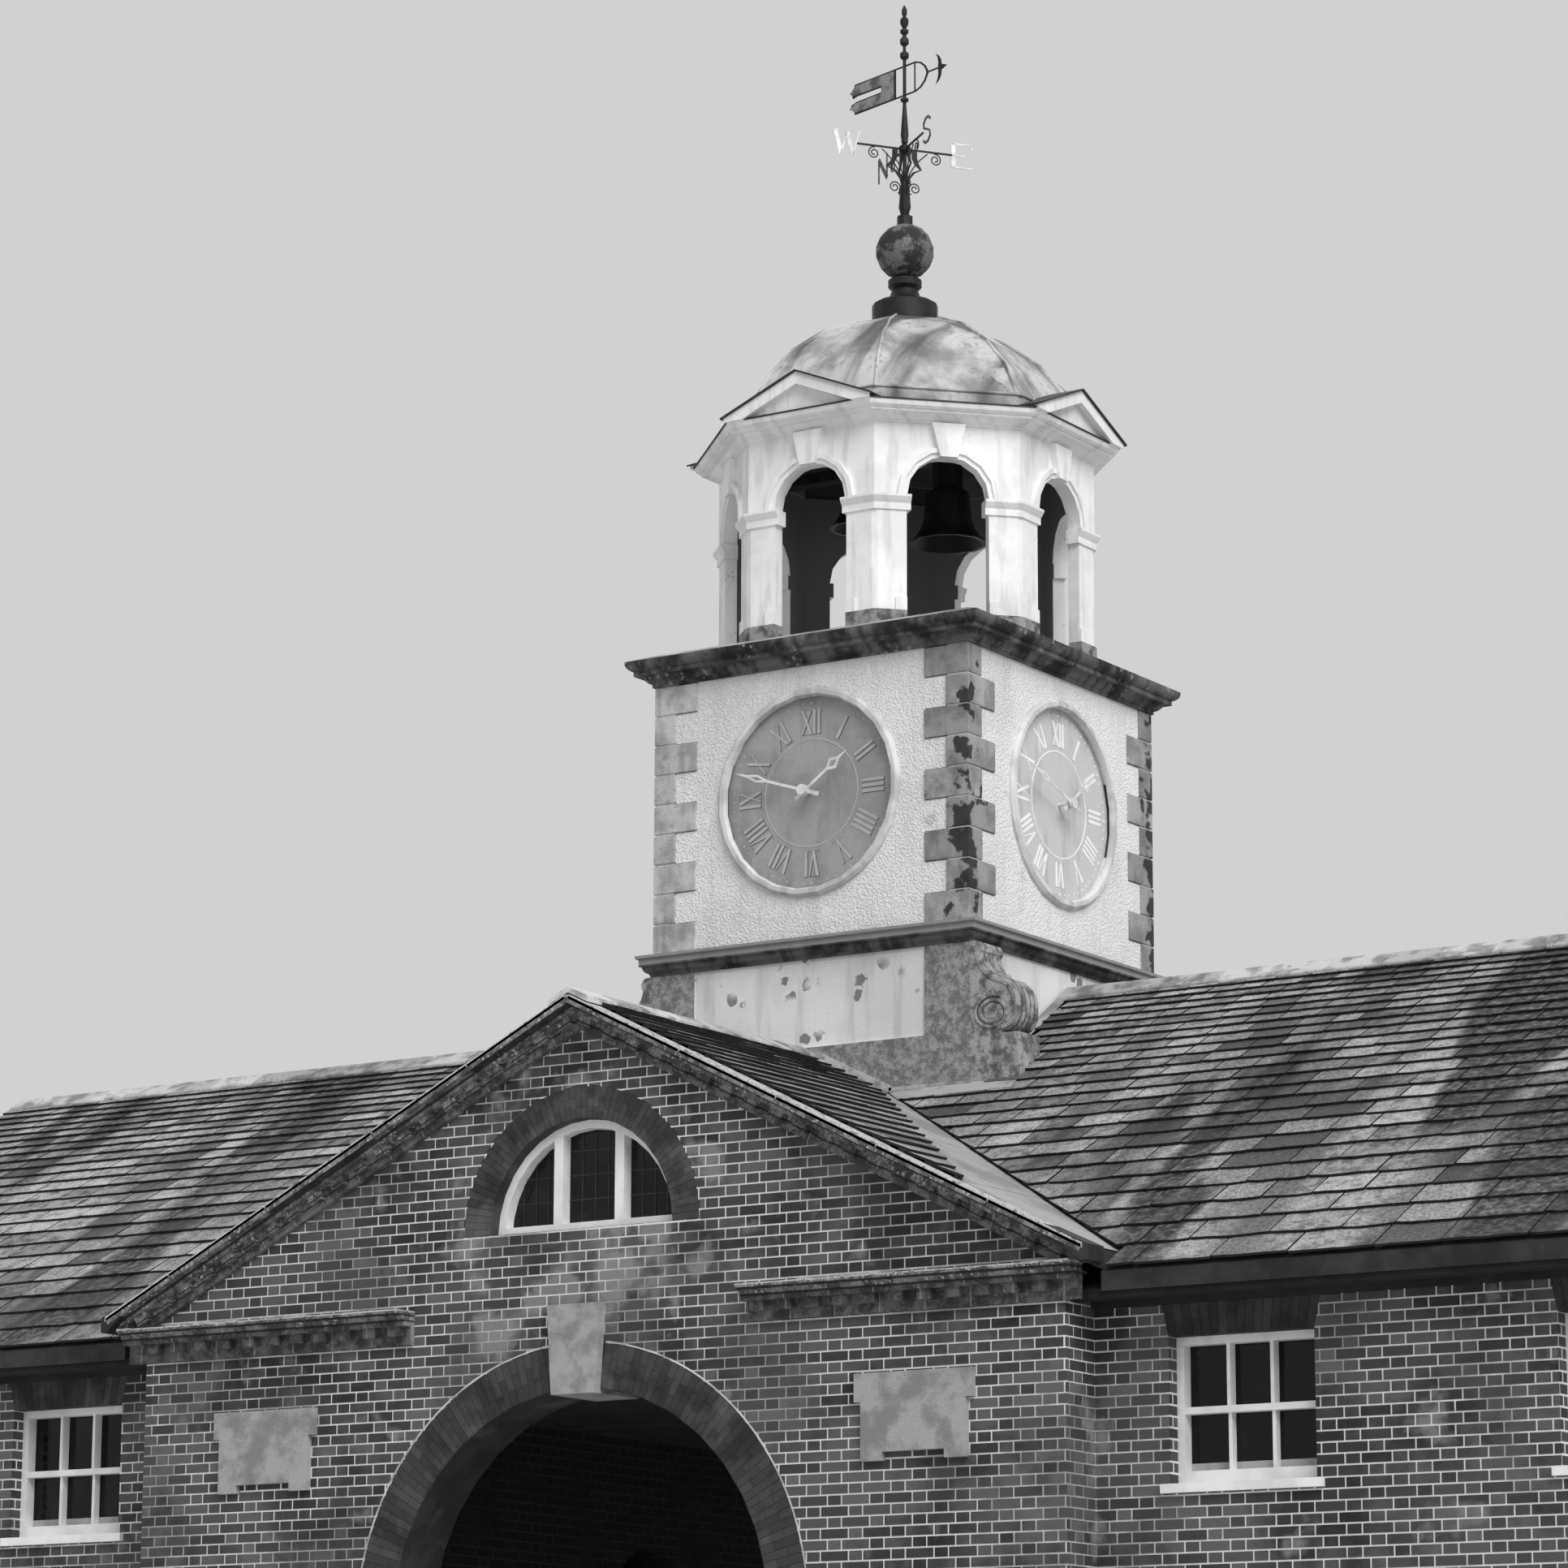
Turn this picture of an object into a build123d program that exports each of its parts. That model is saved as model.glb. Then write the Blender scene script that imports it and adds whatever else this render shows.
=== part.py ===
from build123d import *
import os
from math import atan, cos, hypot, pi, radians, sin, tan

# A clock tower over the carriage arch of a two-storey brick stable range.
# Millimetres. The origin is on the ground under the tower's axis. +X runs along the range,
# -Y is the front and +Z is up. The rear repeats the front. Levels are stacked on one another.

# Heights of the range
FLOOR_TOP = 3300.0
FLOOR_THICK = 200.0
GROUND_SILL = 1050.0
GROUND_WINDOW = 1350.0
UPPER_SILL_RISE = 900.0
UPPER_WINDOW = 975.0
EAVES_RISE = 415.0
ROOF_RISE = 2780.0
ROOF_DROP = 130.0

# Heights of the tower
BELT_RISE = 200.0
BELT_HEIGHT = 170.0
CLOCK_STAGE = 2160.0
DIAL_RISE = 70.0
CORNICE_HEIGHT = 200.0
DECK_RISE = 70.0
PIER_HEIGHT = 915.0
IMPOST_HEIGHT = 120.0
ARCADE_HEIGHT = 590.0
CUPOLA_CORNICE_HEIGHT = 130.0
KERB_HEIGHT = 158.0
DOME_RISE = 917.0

# Range and its wings
WING_HALF_DEPTH = 4040.0
WING_WALL = 360.0
PARTY_SETBACK = 20.0
EAVES_REACH = 350.0
EAVES_INSET = 30.0
BAY = 2800.0
BAYS_PER_WING = 2
FIRST_WINDOW = 1100.0

# Sash windows
WINDOW_WIDTH = 1080.0
SASH_SETBACK = 110.0
SASH_DEPTH = 90.0
SASH_STILE = 55.0
MEETING_RAIL = 45.0
BOTTOM_RAIL = 90.0
GLASS_THICK = 6.0
SILL_HEIGHT = 60.0
SILL_REACH = 45.0
SILL_HORN = 55.0
LINTEL_HEIGHT = 210.0
LINTEL_SPLAY = 45.0

# Pavilion with the carriage arch
PAVILION_HALF = 3950.0
PAVILION_PROJECTION = 390.0
PAVILION_WALL = 480.0
ARCH_RADIUS = 1600.0
ARCH_RING = 320.0
ARCH_SPRING_RISE = 130.0
ARCH_COVER = 50.0
APEX_DROP = 560.0
RAKE_OVERHANG = 250.0
RAKE_FOOT_RISE = 340.0
RAKE_REACH = 210.0
RAKE_DEPTH = 200.0
RETURN_OVERHANG = 130.0
RETURN_RISE = 250.0
RETURN_HEIGHT = 240.0
RETURN_INNER_X = 1450.0
DENTIL_WIDTH = 110.0
DENTIL_HEIGHT = 70.0
DENTIL_PITCH = 225.0
LUNETTE_RISE = 760.0
LUNETTE_RADIUS = 790.0
LUNETTE_RING = 227.0
LUNETTE_SETBACK = 100.0
LUNETTE_FRAME = 60.0
LUNETTE_MULLION = 78.0
LUNETTE_MULLION_X = 265.0
KEYSTONE_REACH = 70.0
KEYSTONE_RISE = 220.0
KEYSTONE_DROP = 45.0
KEYSTONE_HALF_TOP = 232.0
KEYSTONE_HALF_BOTTOM = 188.0
TABLET_X = 2785.0
TABLET_WIDTH = 830.0
TABLET_CAP_WIDTH = 935.0
TABLET_DROP = 395.0
TABLET_HEIGHT = 535.0
TABLET_CAP = 195.0
TABLET_FOOT = 60.0
TABLET_FOOT_WIDTH = 170.0
TABLET_REACH = 45.0

# Passage behind the arch
PASSAGE_HALF = 2400.0
PASSAGE_WALL = 460.0
PASSAGE_HEADROOM = 70.0
SIDE_DOOR_RADIUS = 535.0
SIDE_DOOR_SPRING = 3720.0

# Tower
TOWER_HALF = 1448.0
TOWER_WALL = 300.0
RENDER_SETBACK = 15.0
PLINTH_DROP = 690.0
PLINTH_REACH = 15.0
PILASTER_WIDTH = 400.0
BELT_REACH = 100.0
CORNICE_REACH = 175.0
QUOIN_COURSES = 9
QUOIN_LONG = 400.0
QUOIN_SHORT = 205.0
DIAL_RADIUS = 770.0
DIAL_RING_WIDTH = 56.0
DIAL_RING_REACH = 45.0
DIAL_THICK = 40.0
DIAL_SETBACK = 30.0

# Scroll consoles on the tower's flanks
CONSOLE_WIDTH = 320.0
CONSOLE_ROLL = 60.0
CONSOLE_REACH = 405.0
CONSOLE_DROP = 724.0
CONSOLE_CAP = 25.0
CONSOLE_SINK = 100.0
CONSOLE_NECK = 276.0

# Clock hands
HOUR_HAND = 480.0
HOUR_HAND_WIDTH = 105.0
MINUTE_HAND = 680.0
MINUTE_HAND_WIDTH = 62.0
HAND_THICK = 5.0
HOUR_STANDOFF = 100.0
MINUTE_STANDOFF = 125.0
HAND_BOSS = 42.0
BOSS_REACH = 25.0
HAND_SHOWS_MINUTE = 48.0
HAND_SHOWS_HOUR = 1.0
HOUR_ARBOR = 16.0
MINUTE_ARBOR = 9.0
ARBOR_CLEARANCE = 0.65
ARBOR_TAIL = 30.0

# Cupola
CUPOLA_INSET = 28.0
CUPOLA_WALL = 100.0
CUPOLA_CHAMFER = 50.0
CUPOLA_OPENING_HALF = 330.0
CUPOLA_FOOT_HEIGHT = 110.0
CUPOLA_FOOT_REACH = 15.0
JAMB_BLOCK_WIDTH = 90.0
JAMB_BLOCK_HEIGHT = 105.0
ARCHIVOLT = 80.0
ARCHIVOLT_REACH = 38.0
IMPOST_REACH = 45.0
IMPOST_JAMB = 32.0
CUPOLA_KEY_REACH = 60.0
CUPOLA_KEY_HALF_TOP = 135.0
CUPOLA_KEY_HALF_BOTTOM = 72.0
CUPOLA_KEY_DROP = 12.0
CUPOLA_KEY_TAIL = 60.0
CUPOLA_CORNICE_REACH = 190.0
CUPOLA_PEDIMENT_HALF = 750.0
CUPOLA_PEDIMENT_RISE = 310.0
CUPOLA_PEDIMENT_REACH = 225.0
CUPOLA_PEDIMENT_DEPTH = 330.0
CUPOLA_PEDIMENT_MOULD = 100.0
CUPOLA_PEDIMENT_RECESS = 70.0
DOME_INSET = 20.0
DOME_TOP_HALF = 430.0
DOME_BULGE = 150.0
DOME_THICK = 70.0
DOME_KERB = 30.0

# Bells
BELL_X = 400.0
BELL_RADIUS = 308.0
BELL_DROP = 685.0
BELL_HEIGHT = 450.0
SMALL_BELL_X = -440.0
SMALL_BELL_RADIUS = 240.0
SMALL_BELL_DROP = 435.0
SMALL_BELL_HEIGHT = 350.0
BELL_WALL = 0.09
BEAM_RISE = 40.0
BEAM_WIDTH = 120.0
BEAM_HEIGHT = 90.0

# Finial, compass and vane
NECK_FLANGE_RADIUS = 264.0
NECK_HEIGHT = 460.0
BALL_RADIUS = 235.0
BALL_FLAT = 10.0
MAST_RADIUS = 16.0
COMPASS_RISE = 664.0
COMPASS_REACH = 420.0
ARM_SIZE = 14.0
HUB_REACH = 18.0
HUB_RIM = 12.0
HUB_HEIGHT = 40.0
SCROLL_DROP = 330.0
SCROLL_REACH = 150.0
SCROLL_BAR = 13.0
COMPASS_TURN = 52.5
VANE_RISE = 416.0
VANE_POINTS = 74.5
VANE_ARROW = 510.0
VANE_TAIL = 675.0
VANE_LOW = 47.0
VANE_HIGH = 312.0
VANE_BAR = 12.0
VANE_PLATE = 8.0
PIVOT_RADIUS = 8.0
PIVOT_HEIGHT = 240.0
SLEEVE_CLEARANCE = 1.0

# Straight chords that stand for round work
ARCH_CHORDS = 18
LUNETTE_CHORDS = 16
DOOR_CHORDS = 12
CUPOLA_ARCH_CHORDS = 8
DOME_CHORDS = 4
DIAL_SIDES = 24
BELL_SIDES = 12
BALL_SIDES = 16
IRON_SIDES = 8
ROD_SIDES = 12

# Levels above the ground, worked out from the heights
GROUND_HEAD = GROUND_SILL + GROUND_WINDOW
UPPER_SILL = FLOOR_TOP + UPPER_SILL_RISE
UPPER_HEAD = UPPER_SILL + UPPER_WINDOW
EAVES = UPPER_HEAD + EAVES_RISE
RIDGE = EAVES + ROOF_RISE
ARCH_SPRING = FLOOR_TOP + ARCH_SPRING_RISE
PASSAGE_CEILING = ARCH_SPRING + ARCH_RADIUS + PASSAGE_HEADROOM
GABLE_BASE = ARCH_SPRING + ARCH_RADIUS + ARCH_RING + ARCH_COVER
KEYSTONE_TOP = GABLE_BASE + KEYSTONE_RISE
LUNETTE_SILL = GABLE_BASE + LUNETTE_RISE
PEDIMENT_APEX = RIDGE - APEX_DROP
RAKE_FOOT = GABLE_BASE + RAKE_FOOT_RISE
RETURN_TOP = GABLE_BASE + RETURN_RISE
TABLET_TOP = GABLE_BASE - TABLET_DROP
TABLET_BOTTOM = TABLET_TOP - TABLET_HEIGHT
BELT_BOTTOM = RIDGE + BELT_RISE
BELT_TOP = BELT_BOTTOM + BELT_HEIGHT
PLINTH_TOP = BELT_BOTTOM - PLINTH_DROP
CORNICE_BOTTOM = BELT_TOP + CLOCK_STAGE
CORNICE_TOP = CORNICE_BOTTOM + CORNICE_HEIGHT
DIAL_HEIGHT = BELT_TOP + CLOCK_STAGE / 2 + DIAL_RISE
DECK_TOP = CORNICE_TOP + DECK_RISE
IMPOST_BOTTOM = DECK_TOP + PIER_HEIGHT
IMPOST_TOP = IMPOST_BOTTOM + IMPOST_HEIGHT
CUPOLA_WALL_TOP = IMPOST_TOP + ARCADE_HEIGHT
CUPOLA_CORNICE_TOP = CUPOLA_WALL_TOP + CUPOLA_CORNICE_HEIGHT
DOME_SPRING = CUPOLA_CORNICE_TOP + KERB_HEIGHT
DOME_TOP = DOME_SPRING + DOME_RISE
BEAM_BOTTOM = CUPOLA_WALL_TOP + BEAM_RISE
NECK_TOP = DOME_TOP + NECK_HEIGHT
BALL_TOP = NECK_TOP + 2 * (BALL_RADIUS - BALL_FLAT)
COMPASS_HEIGHT = BALL_TOP + COMPASS_RISE
VANE_SEAT = COMPASS_HEIGHT + VANE_RISE

# Distances worked out from the sizes above
PAVILION_FRONT = WING_HALF_DEPTH + PAVILION_PROJECTION
PAVILION_BACK = PAVILION_FRONT - PAVILION_WALL
RAKE_FOOT_X = PAVILION_HALF + RAKE_OVERHANG
RETURN_END_X = PAVILION_HALF + RETURN_OVERHANG
FIRST_WINDOW_X = PAVILION_HALF + FIRST_WINDOW
EAVES_EDGE = WING_HALF_DEPTH + EAVES_REACH
WING_END = FIRST_WINDOW_X + (BAYS_PER_WING - 0.5) * BAY
MAIN_SLOPE = (RIDGE - EAVES) / EAVES_EDGE
RAKE_SLOPE = (PEDIMENT_APEX - RAKE_FOOT) / RAKE_FOOT_X
PLINTH_HALF = TOWER_HALF + PLINTH_REACH
RENDER_HALF = TOWER_HALF - RENDER_SETBACK
CUPOLA_APOTHEM = TOWER_HALF - CUPOLA_INSET
DOME_APOTHEM = CUPOLA_APOTHEM - DOME_INSET
CONSOLE_BLOCK_TOP = BELT_BOTTOM - CONSOLE_DROP
CONSOLE_BLOCK_BOTTOM = RIDGE - MAIN_SLOPE * TOWER_HALF - CONSOLE_SINK
BIG = 20000.0

os.makedirs("parts", exist_ok=True)


def block(x0, x1, y0, y1, z0, z1):
    """A plain rectangular solid between six planes."""
    middle = Pos((x0 + x1) / 2, (y0 + y1) / 2, (z0 + z1) / 2)
    return middle * Box(x1 - x0, y1 - y0, z1 - z0)


def arc_corners(start, end, sag, chords):
    """The corners along an arc, between its two ends, when it is drawn as straight chords."""
    run = (end[0] - start[0], end[1] - start[1])
    half = hypot(*run) / 2
    radius = (half ** 2 + sag ** 2) / (2 * sag)
    sweep = 2 * atan(sag / half)
    corners = []
    for step in range(1, chords):
        angle = sweep * (2 * step / chords - 1)
        along = 0.5 + radius * sin(angle) / (2 * half)
        out = (sag - radius * (1 - cos(angle))) / (2 * half)
        corners.append((start[0] + run[0] * along - run[1] * out, start[1] + run[1] * along + run[0] * out))
    return corners


def bent(moves, chords=3):
    """The corners of a closed outline. A move is a point, with a sagitta where an arc leads to it."""
    corners = []
    for start, end in zip(moves[-1:] + moves[:-1], moves):
        if len(end) == 3:
            corners += arc_corners(start, end, end[2], chords)
        if hypot(end[0] - start[0], end[1] - start[1]) > 1e-6:
            corners.append((end[0], end[1]))
    return corners


def outline(*moves, chords=3):
    """A closed flat face, drawn as bent() draws it."""
    return make_face(Polyline(*bent(list(moves), chords), close=True))


def along_x(face, x0, x1):
    """Extrude a face drawn as (y, z) from x0 to x1."""
    return extrude(Plane.YZ.offset(x0) * face, amount=x1 - x0, dir=(1, 0, 0))


def along_y(face, y0, y1):
    """Extrude a face drawn as (x, z) from y0 to y1."""
    return extrude(Plane.XZ.offset(-y0) * face, amount=y1 - y0, dir=(0, 1, 0))


def along_z(face, z0, z1):
    """Extrude a face drawn as (x, y) from z0 to z1."""
    return extrude(Plane.XY.offset(z0) * face, amount=z1 - z0, dir=(0, 0, 1))


def turned(shape, degrees_about_z):
    """The shape turned about the tower's axis."""
    return Rot(0, 0, degrees_about_z) * shape


def both_fronts(shape):
    """The front piece and its rear copy."""
    return [shape, turned(shape, 180)]


def mirror_x(shape):
    """The same piece on the other side of the centre line."""
    return mirror(shape, about=Plane.YZ)


def mirror_y(shape):
    """The same piece at the other side of the ridge line."""
    return mirror(shape, about=Plane.XZ)


def swung(corners, sides):
    """A form turned about Z in flat facets. The corners are (distance from the axis, height)."""
    reach = 1 / cos(pi / sides)
    faces = []
    for index in range(sides):
        left = 2 * pi * (index - 0.5) / sides
        right = 2 * pi * (index + 0.5) / sides
        for low, high in zip(corners, corners[1:] + corners[:1]):
            ring = []
            for (radius, height), angle in ((low, left), (low, right), (high, right), (high, left)):
                point = Vector(radius * reach * cos(angle), radius * reach * sin(angle), height)
                if all((point - known).length > 1e-6 for known in ring):
                    ring.append(point)
            if len(ring) > 2:
                faces.append(Face(Wire.make_polygon(ring, close=True)))
    return Solid(Shell(faces)).clean()


def rod(radius, y0, y1):
    """A twelve-sided rod along Y, whose flats touch this radius."""
    return along_y(RegularPolygon(radius, ROD_SIDES, major_radius=False), y0, y1)


def half_disc(radius, x, z, chords):
    """A half disc that stands on its diameter, drawn as (x, z)."""
    return outline((x - radius, z, -radius), (x + radius, z), chords=chords)


def arch_band(inner, outer, z, chords):
    """The half ring between two radii, drawn as (x, z)."""
    return half_disc(outer, 0, z, chords) - half_disc(inner, 0, z, chords)


def save(name, shapes):
    """Write one node from one solid or several that don't touch."""
    shapes = shapes if isinstance(shapes, list) else [shapes]
    solids = [solid for shape in shapes for solid in shape.solids()]
    whole = solids[0] if len(solids) == 1 else Compound(children=solids)
    whole.label = name
    export_step(whole, f"parts/{name}.step")


def main_under(y):
    """Height of the underside of the main roof over a distance from the ridge line."""
    return RIDGE - ROOF_DROP - MAIN_SLOPE * abs(y)


def rake_under(x):
    """Height of the underside of the pavilion roof over a distance from its ridge."""
    return PEDIMENT_APEX - ROOF_DROP - RAKE_SLOPE * abs(x)


def valley_x(y):
    """Distance from the tower's axis at which the two roofs meet, this far from the main ridge."""
    return (MAIN_SLOPE * abs(y) - (RIDGE - PEDIMENT_APEX)) / RAKE_SLOPE


def valley_y(x):
    """Distance from the main ridge at which the two roofs meet."""
    return (RIDGE - PEDIMENT_APEX + RAKE_SLOPE * abs(x)) / MAIN_SLOPE


def window_places():
    """Centre, sill and head of every window in one wing wall."""
    places = []
    for bay in range(BAYS_PER_WING):
        x = FIRST_WINDOW_X + bay * BAY
        places.append((x, GROUND_SILL, GROUND_HEAD))
        places.append((x, UPPER_SILL, UPPER_HEAD))
    return places


def four_quarters(shape):
    """A piece of the front right wing and its three copies."""
    left = mirror_x(shape)
    return [shape, left, mirror_y(shape), mirror_y(left)]


# Pavilion walls
def pavilion_piers():
    """The masses beside the carriage arch, front and rear."""
    pier = block(ARCH_RADIUS, PAVILION_HALF, -PAVILION_FRONT, -PAVILION_BACK, 0, ARCH_SPRING)
    return four_quarters(pier)


def pavilion_spandrels():
    """The wall round the arch ring, front and rear."""
    wall = block(-PAVILION_HALF, PAVILION_HALF, -PAVILION_FRONT, -PAVILION_BACK, ARCH_SPRING, GABLE_BASE)
    disc = half_disc(ARCH_RADIUS + ARCH_RING, 0, ARCH_SPRING, ARCH_CHORDS)
    return both_fronts(wall - along_y(disc, -PAVILION_FRONT, -PAVILION_BACK))


def pavilion_gables():
    """The gable walls with their half-round window openings."""
    shape = outline((-PAVILION_HALF, GABLE_BASE), (PAVILION_HALF, GABLE_BASE),
                    (PAVILION_HALF, rake_under(PAVILION_HALF)), (0, rake_under(0)),
                    (-PAVILION_HALF, rake_under(PAVILION_HALF)))
    shape = shape - half_disc(LUNETTE_RADIUS + LUNETTE_RING, 0, LUNETTE_SILL, LUNETTE_CHORDS)
    return both_fronts(along_y(shape, -PAVILION_FRONT, -PAVILION_BACK))


def keystone_wedge(reach):
    """The tapered stone's outline, carried from a plane in front of the wall to its back."""
    low = ARCH_SPRING + ARCH_RADIUS - KEYSTONE_DROP
    face = outline((-KEYSTONE_HALF_BOTTOM, low), (KEYSTONE_HALF_BOTTOM, low),
                   (KEYSTONE_HALF_TOP, KEYSTONE_TOP), (-KEYSTONE_HALF_TOP, KEYSTONE_TOP))
    return along_y(face, -PAVILION_FRONT - reach, -PAVILION_BACK)


def arch_rings():
    """The gauged brick ring each side of the keystone, front and rear."""
    band = arch_band(ARCH_RADIUS, ARCH_RADIUS + ARCH_RING, ARCH_SPRING, ARCH_CHORDS)
    ring = along_y(band, -PAVILION_FRONT, -PAVILION_BACK)
    return both_fronts(ring - keystone_wedge(KEYSTONE_REACH))


def arch_keystones():
    """The stone keystone, proud of the wall and tailed into the ring."""
    wedge = keystone_wedge(KEYSTONE_REACH)
    proud = wedge & block(-BIG, BIG, -PAVILION_FRONT - KEYSTONE_REACH, -PAVILION_FRONT, 0, BIG)
    disc = half_disc(ARCH_RADIUS + ARCH_RING, 0, ARCH_SPRING, ARCH_CHORDS)
    return both_fronts(proud + (wedge & along_y(disc, -PAVILION_FRONT, -PAVILION_BACK)))


def wall_tablets():
    """The plain stone tablets each side of the arch, with shouldered caps and two feet."""
    front = -PAVILION_FRONT - TABLET_REACH
    half = TABLET_WIDTH / 2
    cap = TABLET_CAP_WIDTH / 2
    body = block(TABLET_X - half, TABLET_X + half, front, -PAVILION_FRONT, TABLET_BOTTOM, TABLET_TOP)
    head = block(TABLET_X - cap, TABLET_X + cap, front, -PAVILION_FRONT, TABLET_TOP - TABLET_CAP, TABLET_TOP)
    tablet = body + head
    for side in (-1, 1):
        x = TABLET_X + side * (half - TABLET_FOOT_WIDTH / 2)
        tablet += block(x - TABLET_FOOT_WIDTH / 2, x + TABLET_FOOT_WIDTH / 2, front, -PAVILION_FRONT,
                        TABLET_BOTTOM - TABLET_FOOT, TABLET_BOTTOM)
    return four_quarters(tablet)


def cornice_section(reach, height):
    """A bracketed cornice drawn as (out, up) under its top line, without its dentils."""
    return outline((0, -height), (reach * 0.22, -height), (reach * 0.22, -height * 0.45),
                   (reach * 0.62, -height * 0.45), (reach * 0.62, -height * 0.30),
                   (reach * 0.70, -height * 0.30), (reach * 0.96, -height * 0.10, reach * 0.06),
                   (reach, -height * 0.10), (reach, 0), (0, 0))


def cornice_returns():
    """The level cornices that stop short of the half-round window, with their dentils."""
    length = RETURN_END_X - RETURN_INNER_X
    plane = Plane(origin=(RETURN_INNER_X, -PAVILION_FRONT, RETURN_TOP), x_dir=(0, -1, 0), z_dir=(-1, 0, 0))
    run = extrude(plane * cornice_section(RAKE_REACH, RETURN_HEIGHT), amount=length, dir=(1, 0, 0))
    top = RETURN_TOP - RETURN_HEIGHT * 0.45
    front = -PAVILION_FRONT - RAKE_REACH * 0.5
    back = -PAVILION_FRONT - RAKE_REACH * 0.22
    for index in range(int(length // DENTIL_PITCH)):
        x = RETURN_INNER_X + DENTIL_PITCH * (index + 0.25)
        run += block(x, x + DENTIL_WIDTH, front, back, top - DENTIL_HEIGHT, top)
    return four_quarters(run)


def raking_cornice():
    """The right-hand raking cornice of the front, mitred at the apex and cut off on the return."""
    angle = atan(RAKE_SLOPE)
    down = (cos(angle), 0, -sin(angle))
    plane = Plane(origin=(0, -PAVILION_FRONT, PEDIMENT_APEX), x_dir=(0, -1, 0),
                  z_dir=(-cos(angle), 0, sin(angle)))
    length = RAKE_FOOT_X / cos(angle)
    start = plane.offset(RAKE_DEPTH)
    run = extrude(start * cornice_section(RAKE_REACH, RAKE_DEPTH), amount=length + 2 * RAKE_DEPTH, dir=down)
    near, far, top = RAKE_REACH * 0.22, RAKE_REACH * 0.5, -RAKE_DEPTH * 0.45
    tooth = outline((near, top - DENTIL_HEIGHT), (far, top - DENTIL_HEIGHT), (far, top), (near, top))
    for index in range(int(length // DENTIL_PITCH)):
        at = plane.offset(-DENTIL_PITCH * (index + 0.5))
        run += extrude(at * tooth, amount=DENTIL_WIDTH, dir=down)
    keep = block(0, RAKE_FOOT_X, -BIG, BIG, RETURN_TOP, BIG)
    return run & keep


def lunette_arches():
    """The brick rings of the half-round windows."""
    band = arch_band(LUNETTE_RADIUS, LUNETTE_RADIUS + LUNETTE_RING, LUNETTE_SILL, LUNETTE_CHORDS)
    return both_fronts(along_y(band, -PAVILION_FRONT, -PAVILION_BACK))


def lunette_frames():
    """The three-light timber frames."""
    front = -PAVILION_FRONT + LUNETTE_SETBACK
    back = front + SASH_DEPTH
    frame = along_y(half_disc(LUNETTE_RADIUS, 0, LUNETTE_SILL, LUNETTE_CHORDS), front, back)
    light = along_y(half_disc(LUNETTE_RADIUS - LUNETTE_FRAME, 0, LUNETTE_SILL, LUNETTE_CHORDS), -BIG, BIG)
    light &= block(-BIG, BIG, -BIG, BIG, LUNETTE_SILL + LUNETTE_FRAME, BIG)
    inner = LUNETTE_MULLION_X - LUNETTE_MULLION / 2
    outer = LUNETTE_MULLION_X + LUNETTE_MULLION / 2
    for left, right in ((-BIG, -outer), (-inner, inner), (outer, BIG)):
        frame -= light & block(left, right, -BIG, BIG, 0, BIG)
    return both_fronts(frame)


def lunette_glass():
    """The panes of the half-round windows, behind the frames."""
    back = -PAVILION_FRONT + LUNETTE_SETBACK + SASH_DEPTH
    disc = half_disc(LUNETTE_RADIUS, 0, LUNETTE_SILL, LUNETTE_CHORDS)
    return both_fronts(along_y(disc, back, back + GLASS_THICK))


# Passage
def passage_walls():
    """The side walls of the passage before and behind their doorways."""
    wall = block(PASSAGE_HALF, PASSAGE_HALF + PASSAGE_WALL, -PAVILION_BACK, -SIDE_DOOR_RADIUS,
                 0, PASSAGE_CEILING)
    return four_quarters(wall)


def passage_door_heads():
    """The wall over each arched doorway."""
    head = outline((-SIDE_DOOR_RADIUS, SIDE_DOOR_SPRING), (SIDE_DOOR_RADIUS, SIDE_DOOR_SPRING),
                   (SIDE_DOOR_RADIUS, PASSAGE_CEILING), (-SIDE_DOOR_RADIUS, PASSAGE_CEILING))
    head = head - half_disc(SIDE_DOOR_RADIUS, 0, SIDE_DOOR_SPRING, DOOR_CHORDS)
    piece = along_x(head, PASSAGE_HALF, PASSAGE_HALF + PASSAGE_WALL)
    return [piece, mirror_x(piece)]


def floors():
    """The upper floor of each wing, and the floor over the passage."""
    inner = PASSAGE_HALF + PASSAGE_WALL
    side = block(inner, PAVILION_HALF, -PAVILION_BACK, PAVILION_BACK, FLOOR_TOP - FLOOR_THICK, FLOOR_TOP)
    depth = WING_HALF_DEPTH - WING_WALL
    side += block(PAVILION_HALF, WING_END - WING_WALL, -depth, depth, FLOOR_TOP - FLOOR_THICK, FLOOR_TOP)
    low = PASSAGE_CEILING
    middle = block(-inner, inner, -PAVILION_BACK, PAVILION_BACK, low, low + FLOOR_THICK)
    return [side, mirror_x(side), middle]


# Wings
def lintel_face(x, head):
    """The splayed flat arch over a window, drawn as (x, z)."""
    half = WINDOW_WIDTH / 2
    return outline((x - half, head), (x + half, head), (x + half + LINTEL_SPLAY, head + LINTEL_HEIGHT),
                   (x - half - LINTEL_SPLAY, head + LINTEL_HEIGHT))


def wing_walls():
    """The long walls, cut through for their windows, flat arches and sills."""
    section = outline((-WING_HALF_DEPTH, 0), (-WING_HALF_DEPTH + WING_WALL, 0),
                      (-WING_HALF_DEPTH + WING_WALL, main_under(WING_HALF_DEPTH - WING_WALL)),
                      (-WING_HALF_DEPTH, main_under(WING_HALF_DEPTH)))
    wall = along_x(section, PAVILION_HALF, WING_END - WING_WALL)
    half = WINDOW_WIDTH / 2
    for x, sill, head in window_places():
        wall -= block(x - half, x + half, -BIG, 0, sill, head)
        wall -= along_y(lintel_face(x, head), -WING_HALF_DEPTH, -WING_HALF_DEPTH + SASH_SETBACK)
        wall -= sill_block(x, sill)
    return four_quarters(wall)


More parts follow.
